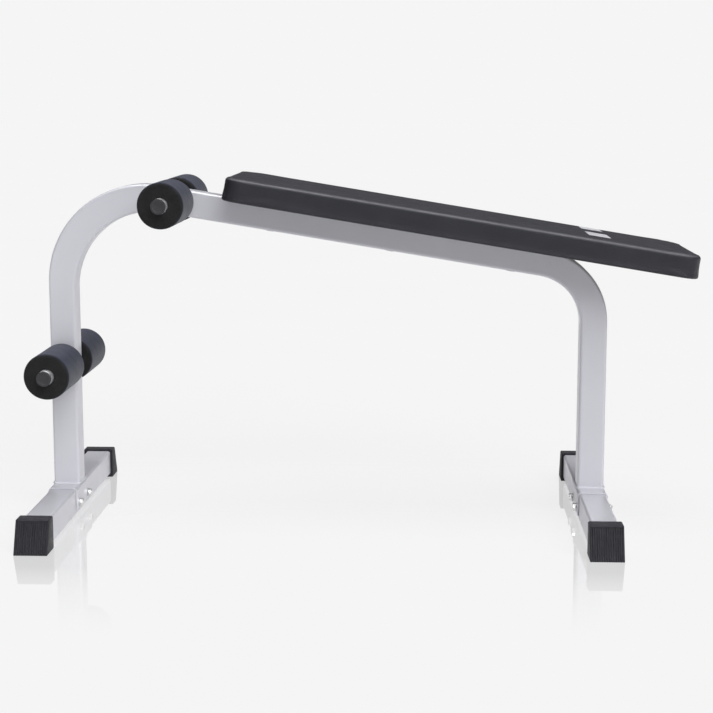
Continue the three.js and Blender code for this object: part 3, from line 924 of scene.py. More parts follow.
def fold_line(half, bottom, top, radius, steps=10):
    """The middle line of a channel: up one side, over the top and down the other,
    with its outward normals."""
    angle = np.linspace(np.pi, np.pi / 2, steps + 1)
    bend = np.stack([np.cos(angle), np.sin(angle)], axis=1)
    left = bend * radius + [-half + radius, top - radius]
    right = (left * [-1, 1])[::-1]
    hold = top - radius - HOLD
    start, end = [[-half, bottom], [-half, hold]], [[half, hold], [half, bottom]]
    points = np.concatenate([start, left, right, end])
    mirrored = (bend * [-1, 1])[::-1]
    normals = np.concatenate([[[-1, 0]], [[-1, 0]], bend, mirrored, [[1, 0]], [[1, 0]]])
    return points, normals


def lip(point, sideways, down, steps=5):
    """A half circle round the strip's end, as unit offsets from the end point."""
    angle = np.linspace(0, np.pi, steps + 2)[1:-1, None]
    ring = np.cos(angle) * np.array(sideways) + np.sin(angle) * np.array(down)
    return np.repeat([point], steps, axis=0), ring


def saddle_mesh(node):
    lowest, highest = low(node), high(node)
    half = (highest[0] - lowest[0]) / 2 - PLATE / 2
    bottom, top = lowest[2] + PLATE / 2, highest[2] - PLATE / 2
    line, normals = fold_line(half, bottom, top, FOLD_RADIUS)
    end_point, end_ring = lip(line[-1], (1, 0), (0, -1))
    start_point, start_ring = lip(line[0], (1, 0), (0, -1))
    places = np.concatenate([line, end_point, line[::-1], start_point])
    offsets = np.concatenate([normals, end_ring, -normals[::-1], start_ring])
    angle = np.linspace(0, np.pi / 2, 5)
    shrink = np.concatenate([[0], PLATE / 2 - RIM * (1 - np.sin(angle))])
    inset = np.concatenate([[0], RIM * (1 - np.cos(angle))])
    thick = np.concatenate([shrink, shrink[::-1]])[:, None, None]
    y = np.concatenate([lowest[1] + inset, highest[1] - inset[::-1]])
    flat = places[None] + thick * offsets[None]
    across = np.broadcast_to(y[:, None], flat.shape[:2])
    grid = np.stack([flat[..., 0] + middle(node)[0], across, flat[..., 1]], axis=-1)
    return make_mesh(node + "_plate", skin(grid))


for side in ("left", "right"):
    mesh = saddle_mesh(f"{side}_saddle")
    add_piece(f"{side}_saddle_plate", mesh, silver_paint, "silver_paint", f"{side}_saddle")
    print(mesh.name, len(mesh.polygons), "faces")

# %% [markdown]
# ## Welds
# A bead of weld runs round each leg where it stands on its saddle. It is a
# thin tube along the leg's outline, swollen a little at each ripple that the
# welder's hand left, and painted over with the rest.

# %% Weld beads
BEAD = 2.3 * MM
RIPPLE = 3.0 * MM


def even_steps(outline, count):
    """The closed outline resampled at equal distances along it."""
    ring = np.concatenate([outline, outline[:1]])
    length = np.concatenate([[0], np.cumsum(np.linalg.norm(np.diff(ring, axis=0), axis=1))])
    at = np.arange(count) / count * length[-1]
    return np.stack([np.interp(at, length, ring[:, k]) for k in (0, 1)], axis=1), length[-1]


def weld(centre_x, height):
    """Rings of radius BEAD (1 + ripple) round the leg's outline; the ripple is a
    wave of the distance along the bead, with a whole number of crests."""
    half = TUBE / 2 + 0.2 * MM
    path, length = even_steps(round_outline(half, half, TUBE_CORNER), 420)
    ahead = np.roll(path, -1, axis=0) - np.roll(path, 1, axis=0)
    ahead /= np.linalg.norm(ahead, axis=1, keepdims=True)
    outward = np.stack([ahead[:, 1], -ahead[:, 0]], axis=1)
    crests = round(length / RIPPLE)
    phase = np.arange(len(path)) / len(path) * crests * 2 * np.pi
    radius = BEAD * (1 + 0.07 * np.cos(phase) + 0.04 * np.sin(phase * 0.25))
    turn = np.arange(12) * np.pi / 6
    out = radius[:, None] * np.cos(turn)
    up = radius[:, None] * np.sin(turn)
    flat = path[:, None] + out[..., None] * outward[:, None]
    return np.stack([flat[..., 0] + centre_x, flat[..., 1], up + height], axis=-1)


for side in ("left", "right"):
    grid = weld(LEG_X[side], high(f"{side}_saddle")[2] + 0.3 * MM)
    mesh = make_mesh(f"{side}_leg_weld", skin(grid, along=True), sharp=60)
    add_piece(f"{side}_leg_weld", mesh, silver_paint, "silver_paint")
    print(mesh.name, len(mesh.polygons), "faces")

# %% [markdown]
# ## Rubber caps
# A cap grips the end of a foot. Cut level anywhere, it is a rectangle with
# round corners, so the cap is a stack of such outlines. Going down, the front
# edge moves out along a slope, and it is fluted: narrow upright grooves,
# missing from a plain band at the top. A Boolean then opens the socket for
# the tube. All four caps are one mesh, turned half round for the front ones.

# %% One rubber cap
CAP_BACK = 282 * MM
CAP_FACE_TOP = 310.3 * MM
CAP_TOE = 336.3 * MM
CAP_HEIGHT = high("left_rear_foot_cap")[2]
CAP_HALF = (high("left_rear_foot_cap")[0] - low("left_rear_foot_cap")[0]) / 2 + 0.8 * MM
FLUTES = 14
FLUTE_DEPTH = 1.6 * MM
FLUTE_PITCH = 2 * CAP_HALF / (FLUTES + 1)
FLUTE_EDGE = (0.19, 0.29)  # where a flute's side starts and ends, in pitches
FLUTE_POINTS = 12
BAND_BOTTOM = 55.5 * MM
CAP_CORNER = 1.5 * MM
HEEL_CORNER = 0.8 * MM
SOLE_EDGE, TOP_ROUND = 1.4 * MM, 2.6 * MM
SOLE_MIDDLE, TOP_MIDDLE = 310 * MM, 297 * MM
SOCKET_HALF, SOCKET_CORNER, SOCKET_CENTRE = 25.3 * MM, 5.3 * MM, 30.3 * MM
SOCKET_MOUTH, SOCKET_END = 260 * MM, 302.3 * MM


def smooth_step(value, start, end):
    t = np.clip((value - start) / (end - start), 0, 1)
    return t * t * (3 - 2 * t)


def cap_rows():
    """Heights and insets of the level cuts: round sole edge, body, round top."""
    turn = np.linspace(0, np.pi / 2, 5)
    sole = [(SOLE_EDGE * (1 - math.sin(a)), SOLE_EDGE * (1 - math.cos(a))) for a in turn]
    body = [(0.0, h * MM) for h in (3, 12, 22, 32, 42, 50, 53, 54.2, 55, 55.8, 56.4)]
    turn = np.linspace(0, np.pi / 2, 8)
    sunk = [(TOP_ROUND * (1 - math.cos(a)), TOP_ROUND * (1 - math.sin(a))) for a in turn]
    return np.array(sole + body + [(inset, CAP_HEIGHT - drop) for inset, drop in sunk])


def cap_outline(inset, height):
    """One level cut. The front edge is y = face(height) less the flutes."""
    face = CAP_TOE - (CAP_TOE - CAP_FACE_TOP) * height / CAP_HEIGHT - inset
    back = CAP_BACK + min(inset, 0.7 * MM)
    half = CAP_HALF - inset
    corner = max(CAP_CORNER - inset * 0.3, 0.5 * MM)
    x = np.linspace(half - corner, -(half - corner), FLUTES * FLUTE_POINTS + 1)
    groove = smooth_step(np.abs((x / FLUTE_PITCH) % 1 - 0.5), *FLUTE_EDGE)
    inside = smooth_step((FLUTES / 2) * FLUTE_PITCH - np.abs(x), -0.1 * MM, 0.1 * MM)
    fade = 1 - smooth_step(height, BAND_BOTTOM - 1 * MM, BAND_BOTTOM + 1 * MM)
    front = np.stack([x, face - FLUTE_DEPTH * (1 - groove) * inside * fade], axis=1)
    angle = np.linspace(0, np.pi / 2, 7)[:-1, None]
    right = np.concatenate([np.cos(angle), np.sin(angle)], axis=1) * corner
    right += [half - corner, face - corner]
    left = (right * [-1, 1])[::-1]
    heel = np.concatenate([-np.sin(angle), -np.cos(angle)], axis=1) * HEEL_CORNER
    heel_left = heel[::-1] + [-half + HEEL_CORNER, back + HEEL_CORNER]
    heel_right = (heel_left * [-1, 1])[::-1]
    return np.concatenate([right, front[1:-1], left, heel_left, heel_right])


def foot_cap_mesh():
    rows = cap_rows()
    rings = np.array([cap_outline(inset, height) for inset, height in rows])
    heights = np.repeat(rows[:, 1:2], rings.shape[1], axis=1)
    grid = np.concatenate([rings, heights[..., None]], axis=2)
    sole_middle = np.broadcast_to([0, SOLE_MIDDLE, 0], grid[:1].shape)
    top_middle = np.broadcast_to([0, TOP_MIDDLE, CAP_HEIGHT], grid[:1].shape)
    body = make_mesh("cap_body", skin(np.concatenate([sole_middle, grid, top_middle])))
    x, z = round_outline(SOCKET_HALF, SOCKET_HALF, SOCKET_CORNER).T
    ends = [(0.0, SOCKET_MOUTH), (1.0, SOCKET_MOUTH), (1.0, SOCKET_END), (0.0, SOCKET_END)]
    socket = np.array([
        np.column_stack([x * k, np.full(len(x), y), z * k + SOCKET_CENTRE]) for k, y in ends
    ])
    return smoothed(cut_by(body, make_mesh("socket", skin(socket))), 40)


cap_mesh = foot_cap_mesh()
for side in ("left", "right"):
    for place, turn in (("rear", 0.0), ("front", math.pi)):
        mesh = cap_mesh.copy()
        mesh.name = f"{side}_{place}_rubber_cap"
        mesh.transform(Matrix.Translation((LEG_X[side], 0, 0)) @ Matrix.Rotation(turn, 4, "Z"))
        add_piece(mesh.name, mesh, foot_rubber, "foot_rubber", f"{side}_{place}_foot_cap")
print("rubber cap:", len(cap_mesh.polygons), "faces, four of them")

# %% [markdown]
# ## Bolts, washers and lock nuts
# Two M8 bolts clamp each saddle. Their heads face the middle of the bench and
# the lock nuts face out. Each outline starts on the axis at the top of the
# head, follows the dished face, the chamfer cone and the flats, and ends at
# the tip of the thread. The nut's outline closes on itself, so its bore is
# open, with the collar that holds the nylon ring on its outer end.

# %% Outlines of the fasteners
FLATS = 13 * MM
CORNER = FLATS / 2 / math.cos(math.pi / 6)
HEAD = 5.3 * MM
SHANK = 4 * MM
HEAD_SEAT = 29.7 * MM  # from the foot's centre line to the washer's outer face
CONE = math.tan(math.radians(30))
WASHER_BORE, WASHER_RIM = 4.5 * MM, 8.5 * MM


def chamfer(height, sign, flat_radius=6.1 * MM, steps=8):
    """Rows down a 30 degree cone from the flat's rim to past the hexagon's corner."""
    radius = np.linspace(flat_radius, CORNER, steps)
    return [(r, height - sign * (r - flat_radius) * CONE, HEXAGON) for r in radius]


def bolt_outline(length):
    """Radius and height from the head's bearing face: the head up, the shank down."""
    top = [(0, HEAD - 0.35 * MM), (3.2 * MM, HEAD - 0.35 * MM), (4.2 * MM, HEAD - 0.05 * MM)]
    top += [(4.6 * MM, HEAD), (5.6 * MM, HEAD)]
    flats = [(CORNER, HEAD - 1.2 * MM, HEXAGON), (CORNER, 0.4 * MM, HEXAGON)]
    under = [(CORNER, 0.2 * MM, HEXAGON), (6.3 * MM, 0), (5.9 * MM, 0), (SHANK, 0)]
    plain = [(SHANK, -0.5 * MM), (SHANK, -length + 16 * MM)]
    heights = np.arange(-length + 15.5 * MM, -length + 0.9 * MM, -0.2 * MM)
    thread = [(SHANK, h, THREAD) for h in heights]
    tip = [(3.3 * MM, -length + 0.4 * MM), (3.0 * MM, -length), (0, -length)]
    return top + chamfer(HEAD, 1) + flats + under + plain + thread + tip


def nut_outline():
    """A closed outline: bore, bearing face, flats, chamfer, collar and back."""
    bore = 4.12 * MM
    face = [(bore, 0.4 * MM), (4.5 * MM, 0), (6.0 * MM, 0)]
    face += [(CORNER - 0.4 * MM, 0.15 * MM, HEXAGON), (CORNER, 0.4 * MM, HEXAGON)]
    flats = [(CORNER, 4.9 * MM, HEXAGON)]
    shoulder = chamfer(6.0 * MM, 1)[::-1]
    collar = [(5.75 * MM, 6.15 * MM), (5.7 * MM, 7.2 * MM)]
    collar += arc((5.0 * MM, 7.2 * MM), 0.7 * MM, 20, 90, 5) + [(4.9 * MM, 7.9 * MM)]
    ring = [(4.6 * MM, 7.75 * MM), (4.4 * MM, 7.5 * MM), (bore, 7.4 * MM)]
    return face + flats + shoulder + collar + ring


def washer_outline(inner, outer, bottom, top, rim=0.25 * MM):
    """A flat ring with a small rounded rim on every edge."""
    points = []
    for centre, start in (
        ((outer - rim, bottom + rim), -90),
        ((outer - rim, top - rim), 0),
        ((inner + rim, top - rim), 90),
        ((inner + rim, bottom + rim), 180),
    ):
        points += arc(centre, rim, start, start + 90, 3)
    return points


# %% Foot bolts, washers and nuts
def inward(side):
    """The way the bolt heads of a foot face, towards the middle of the bench."""
    return np.array([1.0 if side == "left" else -1.0, 0, 0])


for side in ("left", "right"):
    for place in ("front", "rear"):
        stem = f"{side}_{place}_foot"
        way = inward(side)
        axis_point = middle(f"{stem}_bolt") * [0, 1, 1] + [LEG_X[side], 0, 0]
        reach = high(f"{stem}_bolt")[0] - low(f"{stem}_bolt")[0]
        seat = axis_point + way * HEAD_SEAT
        shell = turned(bolt_outline(reach - HEAD), seat, way, 96, FLATS)
        mesh = make_mesh(f"{stem}_hex_bolt", shell, sharp=28)
        add_piece(mesh.name, mesh, zinc_plate, "zinc_plate", f"{stem}_bolt")
        seat = axis_point - way * HEAD_SEAT
        shell = turned(nut_outline(), seat, -way, 96, FLATS, closed=True)
        mesh = make_mesh(f"{stem}_lock_nut", shell, sharp=28)
        add_piece(mesh.name, mesh, zinc_plate, "zinc_plate", f"{stem}_nut")
        for kind, sign in (("head", 1), ("nut", -1)):
            node = f"{stem}_{kind}_washer"
            half = (high(node)[0] - low(node)[0]) / 2
            outline = washer_outline(WASHER_BORE, WASHER_RIM, -half, half)
            ring = turned(outline, middle(node), way, 72, closed=True)
            mesh = make_mesh(f"{stem}_{kind}_flat_washer", ring)
            add_piece(mesh.name, mesh, zinc_plate, "zinc_plate", node)
print("foot fasteners: 4 bolts, 4 nuts, 8 washers")

# %% [markdown]
# ## Roller rods
# A rod is a length of bright tube that passes through the frame. Its ends are
# deburred, so each rim has a small chamfer, which is what catches the light.

# %% Rods
ROD_RADIUS = 14 * MM
ROD_WALL = 1.5 * MM


def rod_outline(length):
    """A closed outline of the tube's wall, with a small chamfer on each outer rim."""
    half, inner, cut = length / 2, ROD_RADIUS - ROD_WALL, 0.4 * MM
    return [
        (inner, -half),
        (ROD_RADIUS - cut, -half),
        (ROD_RADIUS, -half + cut),
        (ROD_RADIUS, -half + 3 * cut),
        (ROD_RADIUS, half - 3 * cut),
        (ROD_RADIUS, half - cut),
        (ROD_RADIUS - cut, half),
        (inner, half),
    ]


for level, centre in ROD.items():
    node = f"{level}_roller_rod"
    length = high(node)[1] - low(node)[1]
    shell = turned(rod_outline(length), centre, ACROSS, 96, closed=True)
    mesh = make_mesh(f"{level}_rod_tube", shell)
    add_piece(mesh.name, mesh, bright_rod, "bright_rod", node)
    print(mesh.name, round(length / MM), "mm long")

# %% [markdown]
# ## Plugs, bushes and screws
# A plug closes each end of a rod: its face is slightly dished inside a raised
# rim. A nylon bush lines each hole of the frame tube with a flange outside.
# A button-head screw stops each rod from sliding; its socket is a hexagon, so
# the socket's rows use the same limit on the radius as a bolt head does.

# %% Rod plugs and bushes
def plug_outline(face):
    """Radius and distance along the rod: dished face, rim, head and stem."""
    head = face + 3 * MM
    dish = [(0, head - 0.9 * MM), (8.5 * MM, head - 0.8 * MM), (9.6 * MM, head - 0.55 * MM)]
    dish += [(10.4 * MM, head - 0.12 * MM), (11.0 * MM, head)]
    rim = arc((12.2 * MM, head - 1.8 * MM), 1.8 * MM, 90, 0, 6)
    stem = [(14 * MM, face + 0.3 * MM), (13.8 * MM, face), (12.2 * MM, face)]
    ribs = []
    for k in range(4):
        start = face - (2 + 3 * k) * MM
        ribs += [(11.5 * MM, start), (12.2 * MM, start - 0.8 * MM), (11.5 * MM, start - 2.2 * MM)]
    return dish + rim + stem + ribs + [(11.2 * MM, face - 14 * MM), (0, face - 14 * MM)]


def bush_outline():
    """A closed outline: sleeve through the wall, flange with a rounded rim outside."""
    face, bore, sleeve = 25.3 * MM, 14.6 * MM, 16.2 * MM
    flange = arc((19.4 * MM, face + 1.6 * MM), 1.4 * MM, 10, 80, 5)
    return (
        [(bore, 15.4 * MM), (bore + 0.4 * MM, 15 * MM), (sleeve, 15 * MM), (sleeve, face)]
        + [(20.8 * MM, face), (21.0 * MM, face + 0.3 * MM)]
        + flange
        + [(16.2 * MM, face + 3 * MM), (bore + 0.5 * MM, face + 3 * MM), (bore, face + 2.5 * MM)]
    )


for level, centre in ROD.items():
    for place, way in (("rear", ACROSS), ("front", -ACROSS)):
        node = f"{level}_{place}_rod_plug"
        face = abs(high(node)[1] if place == "rear" else low(node)[1]) - 3 * MM
        mesh = make_mesh(f"{level}_{place}_end_plug", turned(plug_outline(face), centre, way, 96))
        add_piece(mesh.name, mesh, dark_plastic, "dark_plastic", node)
        shell = turned(bush_outline(), centre, way, 96, closed=True)
        mesh = make_mesh(f"{level}_{place}_flange_bush", shell)
        add_piece(mesh.name, mesh, pale_nylon, "pale_nylon", f"{level}_{place}_rod_bush")
print("rod plugs and bushes: 4 of each")


# %% Retaining screws
SOCKET_FLATS = 4 * MM


def screw_outline():
    """Radius and height above the tube: hexagon socket, button head and shank."""
    socket = SOCKET_FLATS / 2 / math.cos(math.pi / 6)
    rows = [(0, 1.2 * MM), (socket, 1.3 * MM, HEXAGON), (socket, 3.2 * MM, HEXAGON)]
    rows += [(socket + 0.25 * MM, 3.45 * MM), (3.0 * MM, 3.5 * MM)]
    dome = [(r * MM, (3.5 - 2.6 * ((r - 3) / 2.5) ** 2) * MM) for r in (3.6, 4.2, 4.7, 5.1, 5.4)]
    rim = [(5.5 * MM, 0.7 * MM), (5.5 * MM, 0.2 * MM), (5.3 * MM, 0), (3 * MM, 0)]
    return rows + dome + rim + [(3 * MM, -10 * MM), (2.6 * MM, -10.6 * MM), (0, -10.6 * MM)]


TUBE_FACE = TUBE / 2 + 0.3 * MM
for level, way in SCREW_WAY.items():
    shell = turned(screw_outline(), ROD[level] + way * TUBE_FACE, way, 72, SOCKET_FLATS)
    mesh = make_mesh(f"{level}_button_screw", shell, sharp=28)
    add_piece(mesh.name, mesh, zinc_plate, "zinc_plate", f"{level}_rod_screw")
print("retaining screws: 2")

# %% [markdown]
# ## Foam rollers
# A roller is a thick foam tube that spins on its rod. Its outline closes on
# itself round the bore. Cut foam is never quite true: the ends sink a little
# towards the bore, the rims are soft, and the outside swells and dips by a
# fraction of a millimetre, which a few slow waves over the angle and the
# length add. Each roller rides on its own body, so that it turns.

# %% Rollers
BORE = 14.6 * MM
ROLLER_RADIUS = (high("lower_front_roller") - low("lower_front_roller"))[2] / 2


def roller_outline(start, end):
    """From the bore over the near end, the body and the far end, back to the bore."""
    rim = 6 * MM
    radius = ROLLER_RADIUS - 0.3 * MM

    def face(y, sign):
        inner = np.array([0.3, 1.2, 3, 6, 10, 15, 19]) * MM + BORE
        sink = 0.9 * MM * np.exp(-(inner - BORE) / (5 * MM))
        return [(r, y + sign * s) for r, s in zip(inner, sink)]

    near = [(BORE, start + 2.2 * MM)] + face(start, 1)
    near += arc((radius - rim, start + rim), rim, -90, 0, 10)
    body = [(radius, y) for y in np.linspace(start + rim + 1 * MM, end - rim - 1 * MM, 36)]
    far = arc((radius - rim, end - rim), rim, 0, 90, 10)
    far += face(end, -1)[::-1] + [(BORE, end - 2.2 * MM)]
    return near + body + far


def soften(points, centre, seed):
    """Moves points outwards by slow waves of angle and length: sum of
    size * cos(n angle + phase) * cos(k length + phase)."""
    draw = np.random.default_rng(seed)
    offset = points - centre
    radius = np.hypot(offset[:, 0], offset[:, 2])
    angle = np.arctan2(offset[:, 2], offset[:, 0])
    move = np.zeros(len(points))
    for n in (1, 2, 3, 5):
        phase = draw.uniform(0, 2 * np.pi, 2)
        k = draw.uniform(15, 60)
        move += np.cos(n * angle + phase[0]) * np.cos(k * offset[:, 1] + phase[1])
    share = np.clip((radius - BORE) / (ROLLER_RADIUS - BORE), 0, 1)
    scale = 1 + 0.09 * MM * move * share / np.maximum(radius, 1e-9)
    return centre + offset * np.stack([scale, np.ones_like(scale), scale], axis=1)


ROLLERS = [(level, place) for level in ROD for place in ("rear", "front")]
for number, (level, place) in enumerate(ROLLERS):
    node = f"{level}_{place}_roller"
    near = min(abs(low(node)[1]), abs(high(node)[1]))
    far = max(abs(low(node)[1]), abs(high(node)[1]))
    way = ACROSS if place == "rear" else -ACROSS
    points, faces = turned(roller_outline(near, far), ROD[level], way, 128, closed=True)
    points = soften(points, ROD[level], seed=11 + number)
    mesh = make_mesh(f"{level}_{place}_foam_roller", (points, faces), sharp=50)
    made = add_piece(mesh.name, mesh, roller_foam, "roller_foam", node, body=node)
    print(mesh.name, len(mesh.polygons), "faces, spins with", node)

# %% [markdown]
# ## The padded board
# The pad is foam on a plywood board, under vinyl that is pulled down over the
# edges and stapled below. The shape starts as a plain slab in the slope's own
# frame: distance down the slope, place across it, height above its centre
# line. Voxels remesh it evenly, and a cloth simulation with air pressure
# inside then swells the top and the sides, while the part against the board
# is held. No point may move more than a few millimetres, because the foam in
# a bench is firm. Last, the gathers of the vinyl at the corners are pushed in.

# %% The slab that will be stuffed
PAD_START, PAD_END = 317 * MM, 1196 * MM
PAD_BOTTOM, PAD_TOP = 25.3 * MM, 69.3 * MM
PAD_CENTRE = np.array([(PAD_START + PAD_END) / 2, 0])
PAD_HALF = np.array([(PAD_END - PAD_START) / 2, high("pad_cover")[1]])
PAD_CORNER = 35 * MM
TOP_EDGE, LOW_EDGE = 7 * MM, 3.5 * MM
BOARD_TOP = 39.1 * MM
SWELL_ROOM = 0.8 * MM  # the slab starts this much smaller than the finished pad


def from_slope(points):
    """CROWN + s DOWN + y ACROSS + h ABOVE."""
    return CROWN + points[:, :1] * DOWN + points[:, 1:2] * ACROSS + points[:, 2:] * ABOVE


def slab_grid(shrink, lower, upper):
    """Plan outlines, drawn in by the inset of each row of a round-edged side view."""
    turn = np.linspace(0, np.pi / 2, 7)
    rows = [(LOW_EDGE * (1 - math.sin(a)), lower + LOW_EDGE * (1 - math.cos(a))) for a in turn]
    rows += [(TOP_EDGE * (1 - math.cos(a)), upper - TOP_EDGE * (1 - math.sin(a))) for a in turn]
    rings = []
    for inset, height in rows:
        half = PAD_HALF - shrink - inset
        ring = round_outline(*half, PAD_CORNER - inset, 10) + PAD_CENTRE
        rings.append(np.column_stack([ring, np.full(len(ring), height)]))
    ends = [np.tile([*PAD_CENTRE, h], (len(rings[0]), 1)) for h in (lower, upper)]
    return np.array([ends[0], *rings, ends[1]])


slab = make_mesh("slab", skin(slab_grid(SWELL_ROOM, PAD_BOTTOM, PAD_TOP - SWELL_ROOM)))
print("slab:", len(slab.polygons), "faces")


# %% Stuff it with air pressure
def mesh_points(mesh):
    flat = np.empty(len(mesh.vertices) * 3, np.float32)
    mesh.vertices.foreach_get("co", flat)
    return flat.reshape(-1, 3).astype(float)


def set_points(mesh, points):
    mesh.vertices.foreach_set("co", points.astype(np.float32).ravel())
    mesh.update()


def stuffed(mesh, held, pressure, frames, cap):
    """The mesh after some frames of cloth with air inside; held points stay, and
    no other point moves further than cap."""
    start = mesh_points(mesh)
    worker = bpy.data.objects.new("stuffing", mesh)
    bpy.context.scene.collection.objects.link(worker)
    group = worker.vertex_groups.new(name="held")
    group.add(np.flatnonzero(held(start)).tolist(), 1.0, "REPLACE")
    cloth = worker.modifiers.new("cloth", "CLOTH")
    cloth.settings.use_pressure = True
    cloth.settings.uniform_pressure_force = pressure
    cloth.settings.effector_weights.gravity = 0
    cloth.settings.vertex_group_mass = "held"
    cloth.settings.quality = 5
    cloth.collision_settings.use_collision = False
    cloth.collision_settings.use_self_collision = False
    cloth.point_cache.frame_start = 1
    cloth.point_cache.frame_end = frames
    for number in range(1, frames + 1):
        bpy.context.scene.frame_set(number)
    shown = worker.evaluated_get(bpy.context.evaluated_depsgraph_get())
    moved = mesh_points(shown.data) - start
    bpy.context.scene.frame_set(1)
    bpy.data.objects.remove(worker)
    far = np.linalg.norm(moved, axis=1, keepdims=True)
    moved *= cap * np.tanh(far / cap) / np.maximum(far, 1e-9)
    set_points(mesh, start + moved)
    return float(far.max()), float(np.linalg.norm(moved, axis=1).max())


VOXEL = 4.5 * MM
HELD_DEPTH = 2 * MM
even_slab = with_modifiers(slab, ("REMESH", {"mode": "VOXEL", "voxel_size": VOXEL}))
stuffed_slab = even_slab.copy()
reach = stuffed(
    stuffed_slab,
    held=lambda p: p[:, 2] < PAD_BOTTOM + HELD_DEPTH,
    pressure=4,
    frames=20,
    cap=2 * MM,
)
print("cloth moved up to", [round(r / MM, 2) for r in reach], "mm")
print("evened slab:", len(even_slab.polygons), "faces")


# %% [markdown]
# The voxels blunt the edges. So the slab is made smooth twice, once as it was
# and once as it was stuffed, and the difference of the two is the swelling
# alone. The points of the first are then put back exactly onto the slab, by
# the formula for the distance to a round-edged slab, and the swelling added.

# %% Put the surface back and add the swelling
def onto_slab(points, upper):
    """Each point less its distance times its direction from the round-edged slab.

    In plan, q is how far a point is beyond the straight sides' corners; the
    distance is |max(q, 0)| less the corner's radius. The same is done again
    with that distance and the height, using the radius of the nearer edge.
    """
    flat = points[:, :2] - PAD_CENTRE
    q = np.abs(flat) - (PAD_HALF - SWELL_ROOM - PAD_CORNER)
    over = np.maximum(q, 0)
    reach = np.linalg.norm(over, axis=1)
    plan = reach + np.minimum(q.max(axis=1), 0) - PAD_CORNER
    nearest = np.eye(2)[q.argmax(axis=1)]
    way = np.where(reach[:, None] > 0, over / np.maximum(reach, 1e-9)[:, None], nearest)
    middle_height, half_height = (upper + PAD_BOTTOM) / 2, (upper - PAD_BOTTOM) / 2
    rise = points[:, 2] - middle_height
    edge = np.where(rise > 0, TOP_EDGE, LOW_EDGE)
    wall, lid = plan + edge, np.abs(rise) - half_height + edge
    outside = np.hypot(np.maximum(wall, 0), np.maximum(lid, 0))
    away = outside + np.minimum(np.maximum(wall, lid), 0) - edge
    share = np.maximum(outside, 1e-9)
    to_wall = np.where(outside > 0, np.maximum(wall, 0) / share, wall > lid)
    to_lid = np.where(outside > 0, np.maximum(lid, 0) / share, wall <= lid)
    sideways = way * np.sign(flat) * to_wall[:, None]
    direction = np.column_stack([sideways, np.sign(rise) * to_lid])
    return points - away[:, None] * direction


PLEAT_DEPTH = 0.6 * MM
PLEAT_WAVES = 18
PLEAT_FADE = (22 * MM, 3 * MM)  # above the lower rim: where pleats start and are deepest
smoother = ("SMOOTH", {"iterations": 3})
finer = ("SUBSURF", {"levels": 1, "render_levels": 1})
pad_mesh = with_modifiers(even_slab, finer)
before = mesh_points(pad_mesh)
swelling = mesh_points(with_modifiers(stuffed_slab, smoother, finer))
swelling -= mesh_points(with_modifiers(even_slab, smoother, finer))


def gathered(points):
    """Pleats of the pulled vinyl: at the four corners the side is pushed in by
    depth * cos(n angle) near the lower rim, fading out towards the top."""
    side = np.sign(points[:, :2] - PAD_CENTRE)
    offset = points[:, :2] - PAD_CENTRE - side * (PAD_HALF - PAD_CORNER)
    radius = np.linalg.norm(offset, axis=1)
    outside = (offset * side > 0).all(axis=1) & (radius > PAD_CORNER * 0.6)
    angle = np.arctan2(np.abs(offset[:, 1]), np.abs(offset[:, 0]))
    start, full = (-PAD_BOTTOM - rise for rise in PLEAT_FADE)
    fade = smooth_step(-points[:, 2], start, full)
    ends = np.sin(np.clip(2 * angle, 0, np.pi))
    push = PLEAT_DEPTH * (1 + np.cos(PLEAT_WAVES * angle)) / 2 * fade * ends * outside
    moved = points.copy()
    moved[:, :2] -= offset / np.maximum(radius, 1e-9)[:, None] * push[:, None]
    return moved


points = gathered(onto_slab(before, PAD_TOP - SWELL_ROOM) + swelling)
points[:, 2] = np.maximum(points[:, 2], PAD_BOTTOM)
set_points(pad_mesh, points)
print("swelling up to", round(float(np.abs(swelling).max()) / MM, 2), "mm")

# %% [markdown]
# A Boolean cuts the pocket for the board from below. What is left of the
# underside is the hem, the vinyl that is folded in under the board's edge.

# %% Open the underside
HEM = 26 * MM
POCKET_CORNER = 17.5 * MM
POCKET_BOTTOM = PAD_BOTTOM - 5 * MM
outline = round_outline(*(PAD_HALF - HEM), POCKET_CORNER, 10)
rows = [(0.0, POCKET_BOTTOM), (1.0, POCKET_BOTTOM), (1.0, BOARD_TOP), (0.0, BOARD_TOP)]
pocket = np.array([
    np.column_stack([outline * k + PAD_CENTRE, np.full(len(outline), h)]) for k, h in rows
])
pad_mesh = cut_by(pad_mesh, make_mesh("pocket", skin(pocket)))
set_points(pad_mesh, from_slope(mesh_points(pad_mesh)))
pad_mesh.name = "padded_board"
smoothed(pad_mesh, 50)
pad = add_piece("padded_board", pad_mesh, pad_vinyl, "pad_vinyl", "pad_cover")
print("finished pad:", len(pad_mesh.polygons), "faces")

# %% [markdown]
# ## Staples
# The hem is held to the board by staples. Each is a short round wire whose
# two ends dip into the vinyl. One small grid of points is repeated along the
# hem's middle, turned to lie along it.

# %% Staples under the hem
STAPLE_WIDTH = 11 * MM
STAPLE_WIRE = 0.55 * MM
STAPLE_INSET, STAPLE_CORNER = 15 * MM, 22 * MM  # the line of staples, from the pad's side
STAPLE_PLACES = 60
STAPLE_CLEAR = 32 * MM  # no staples this near the middle, where the frame lies


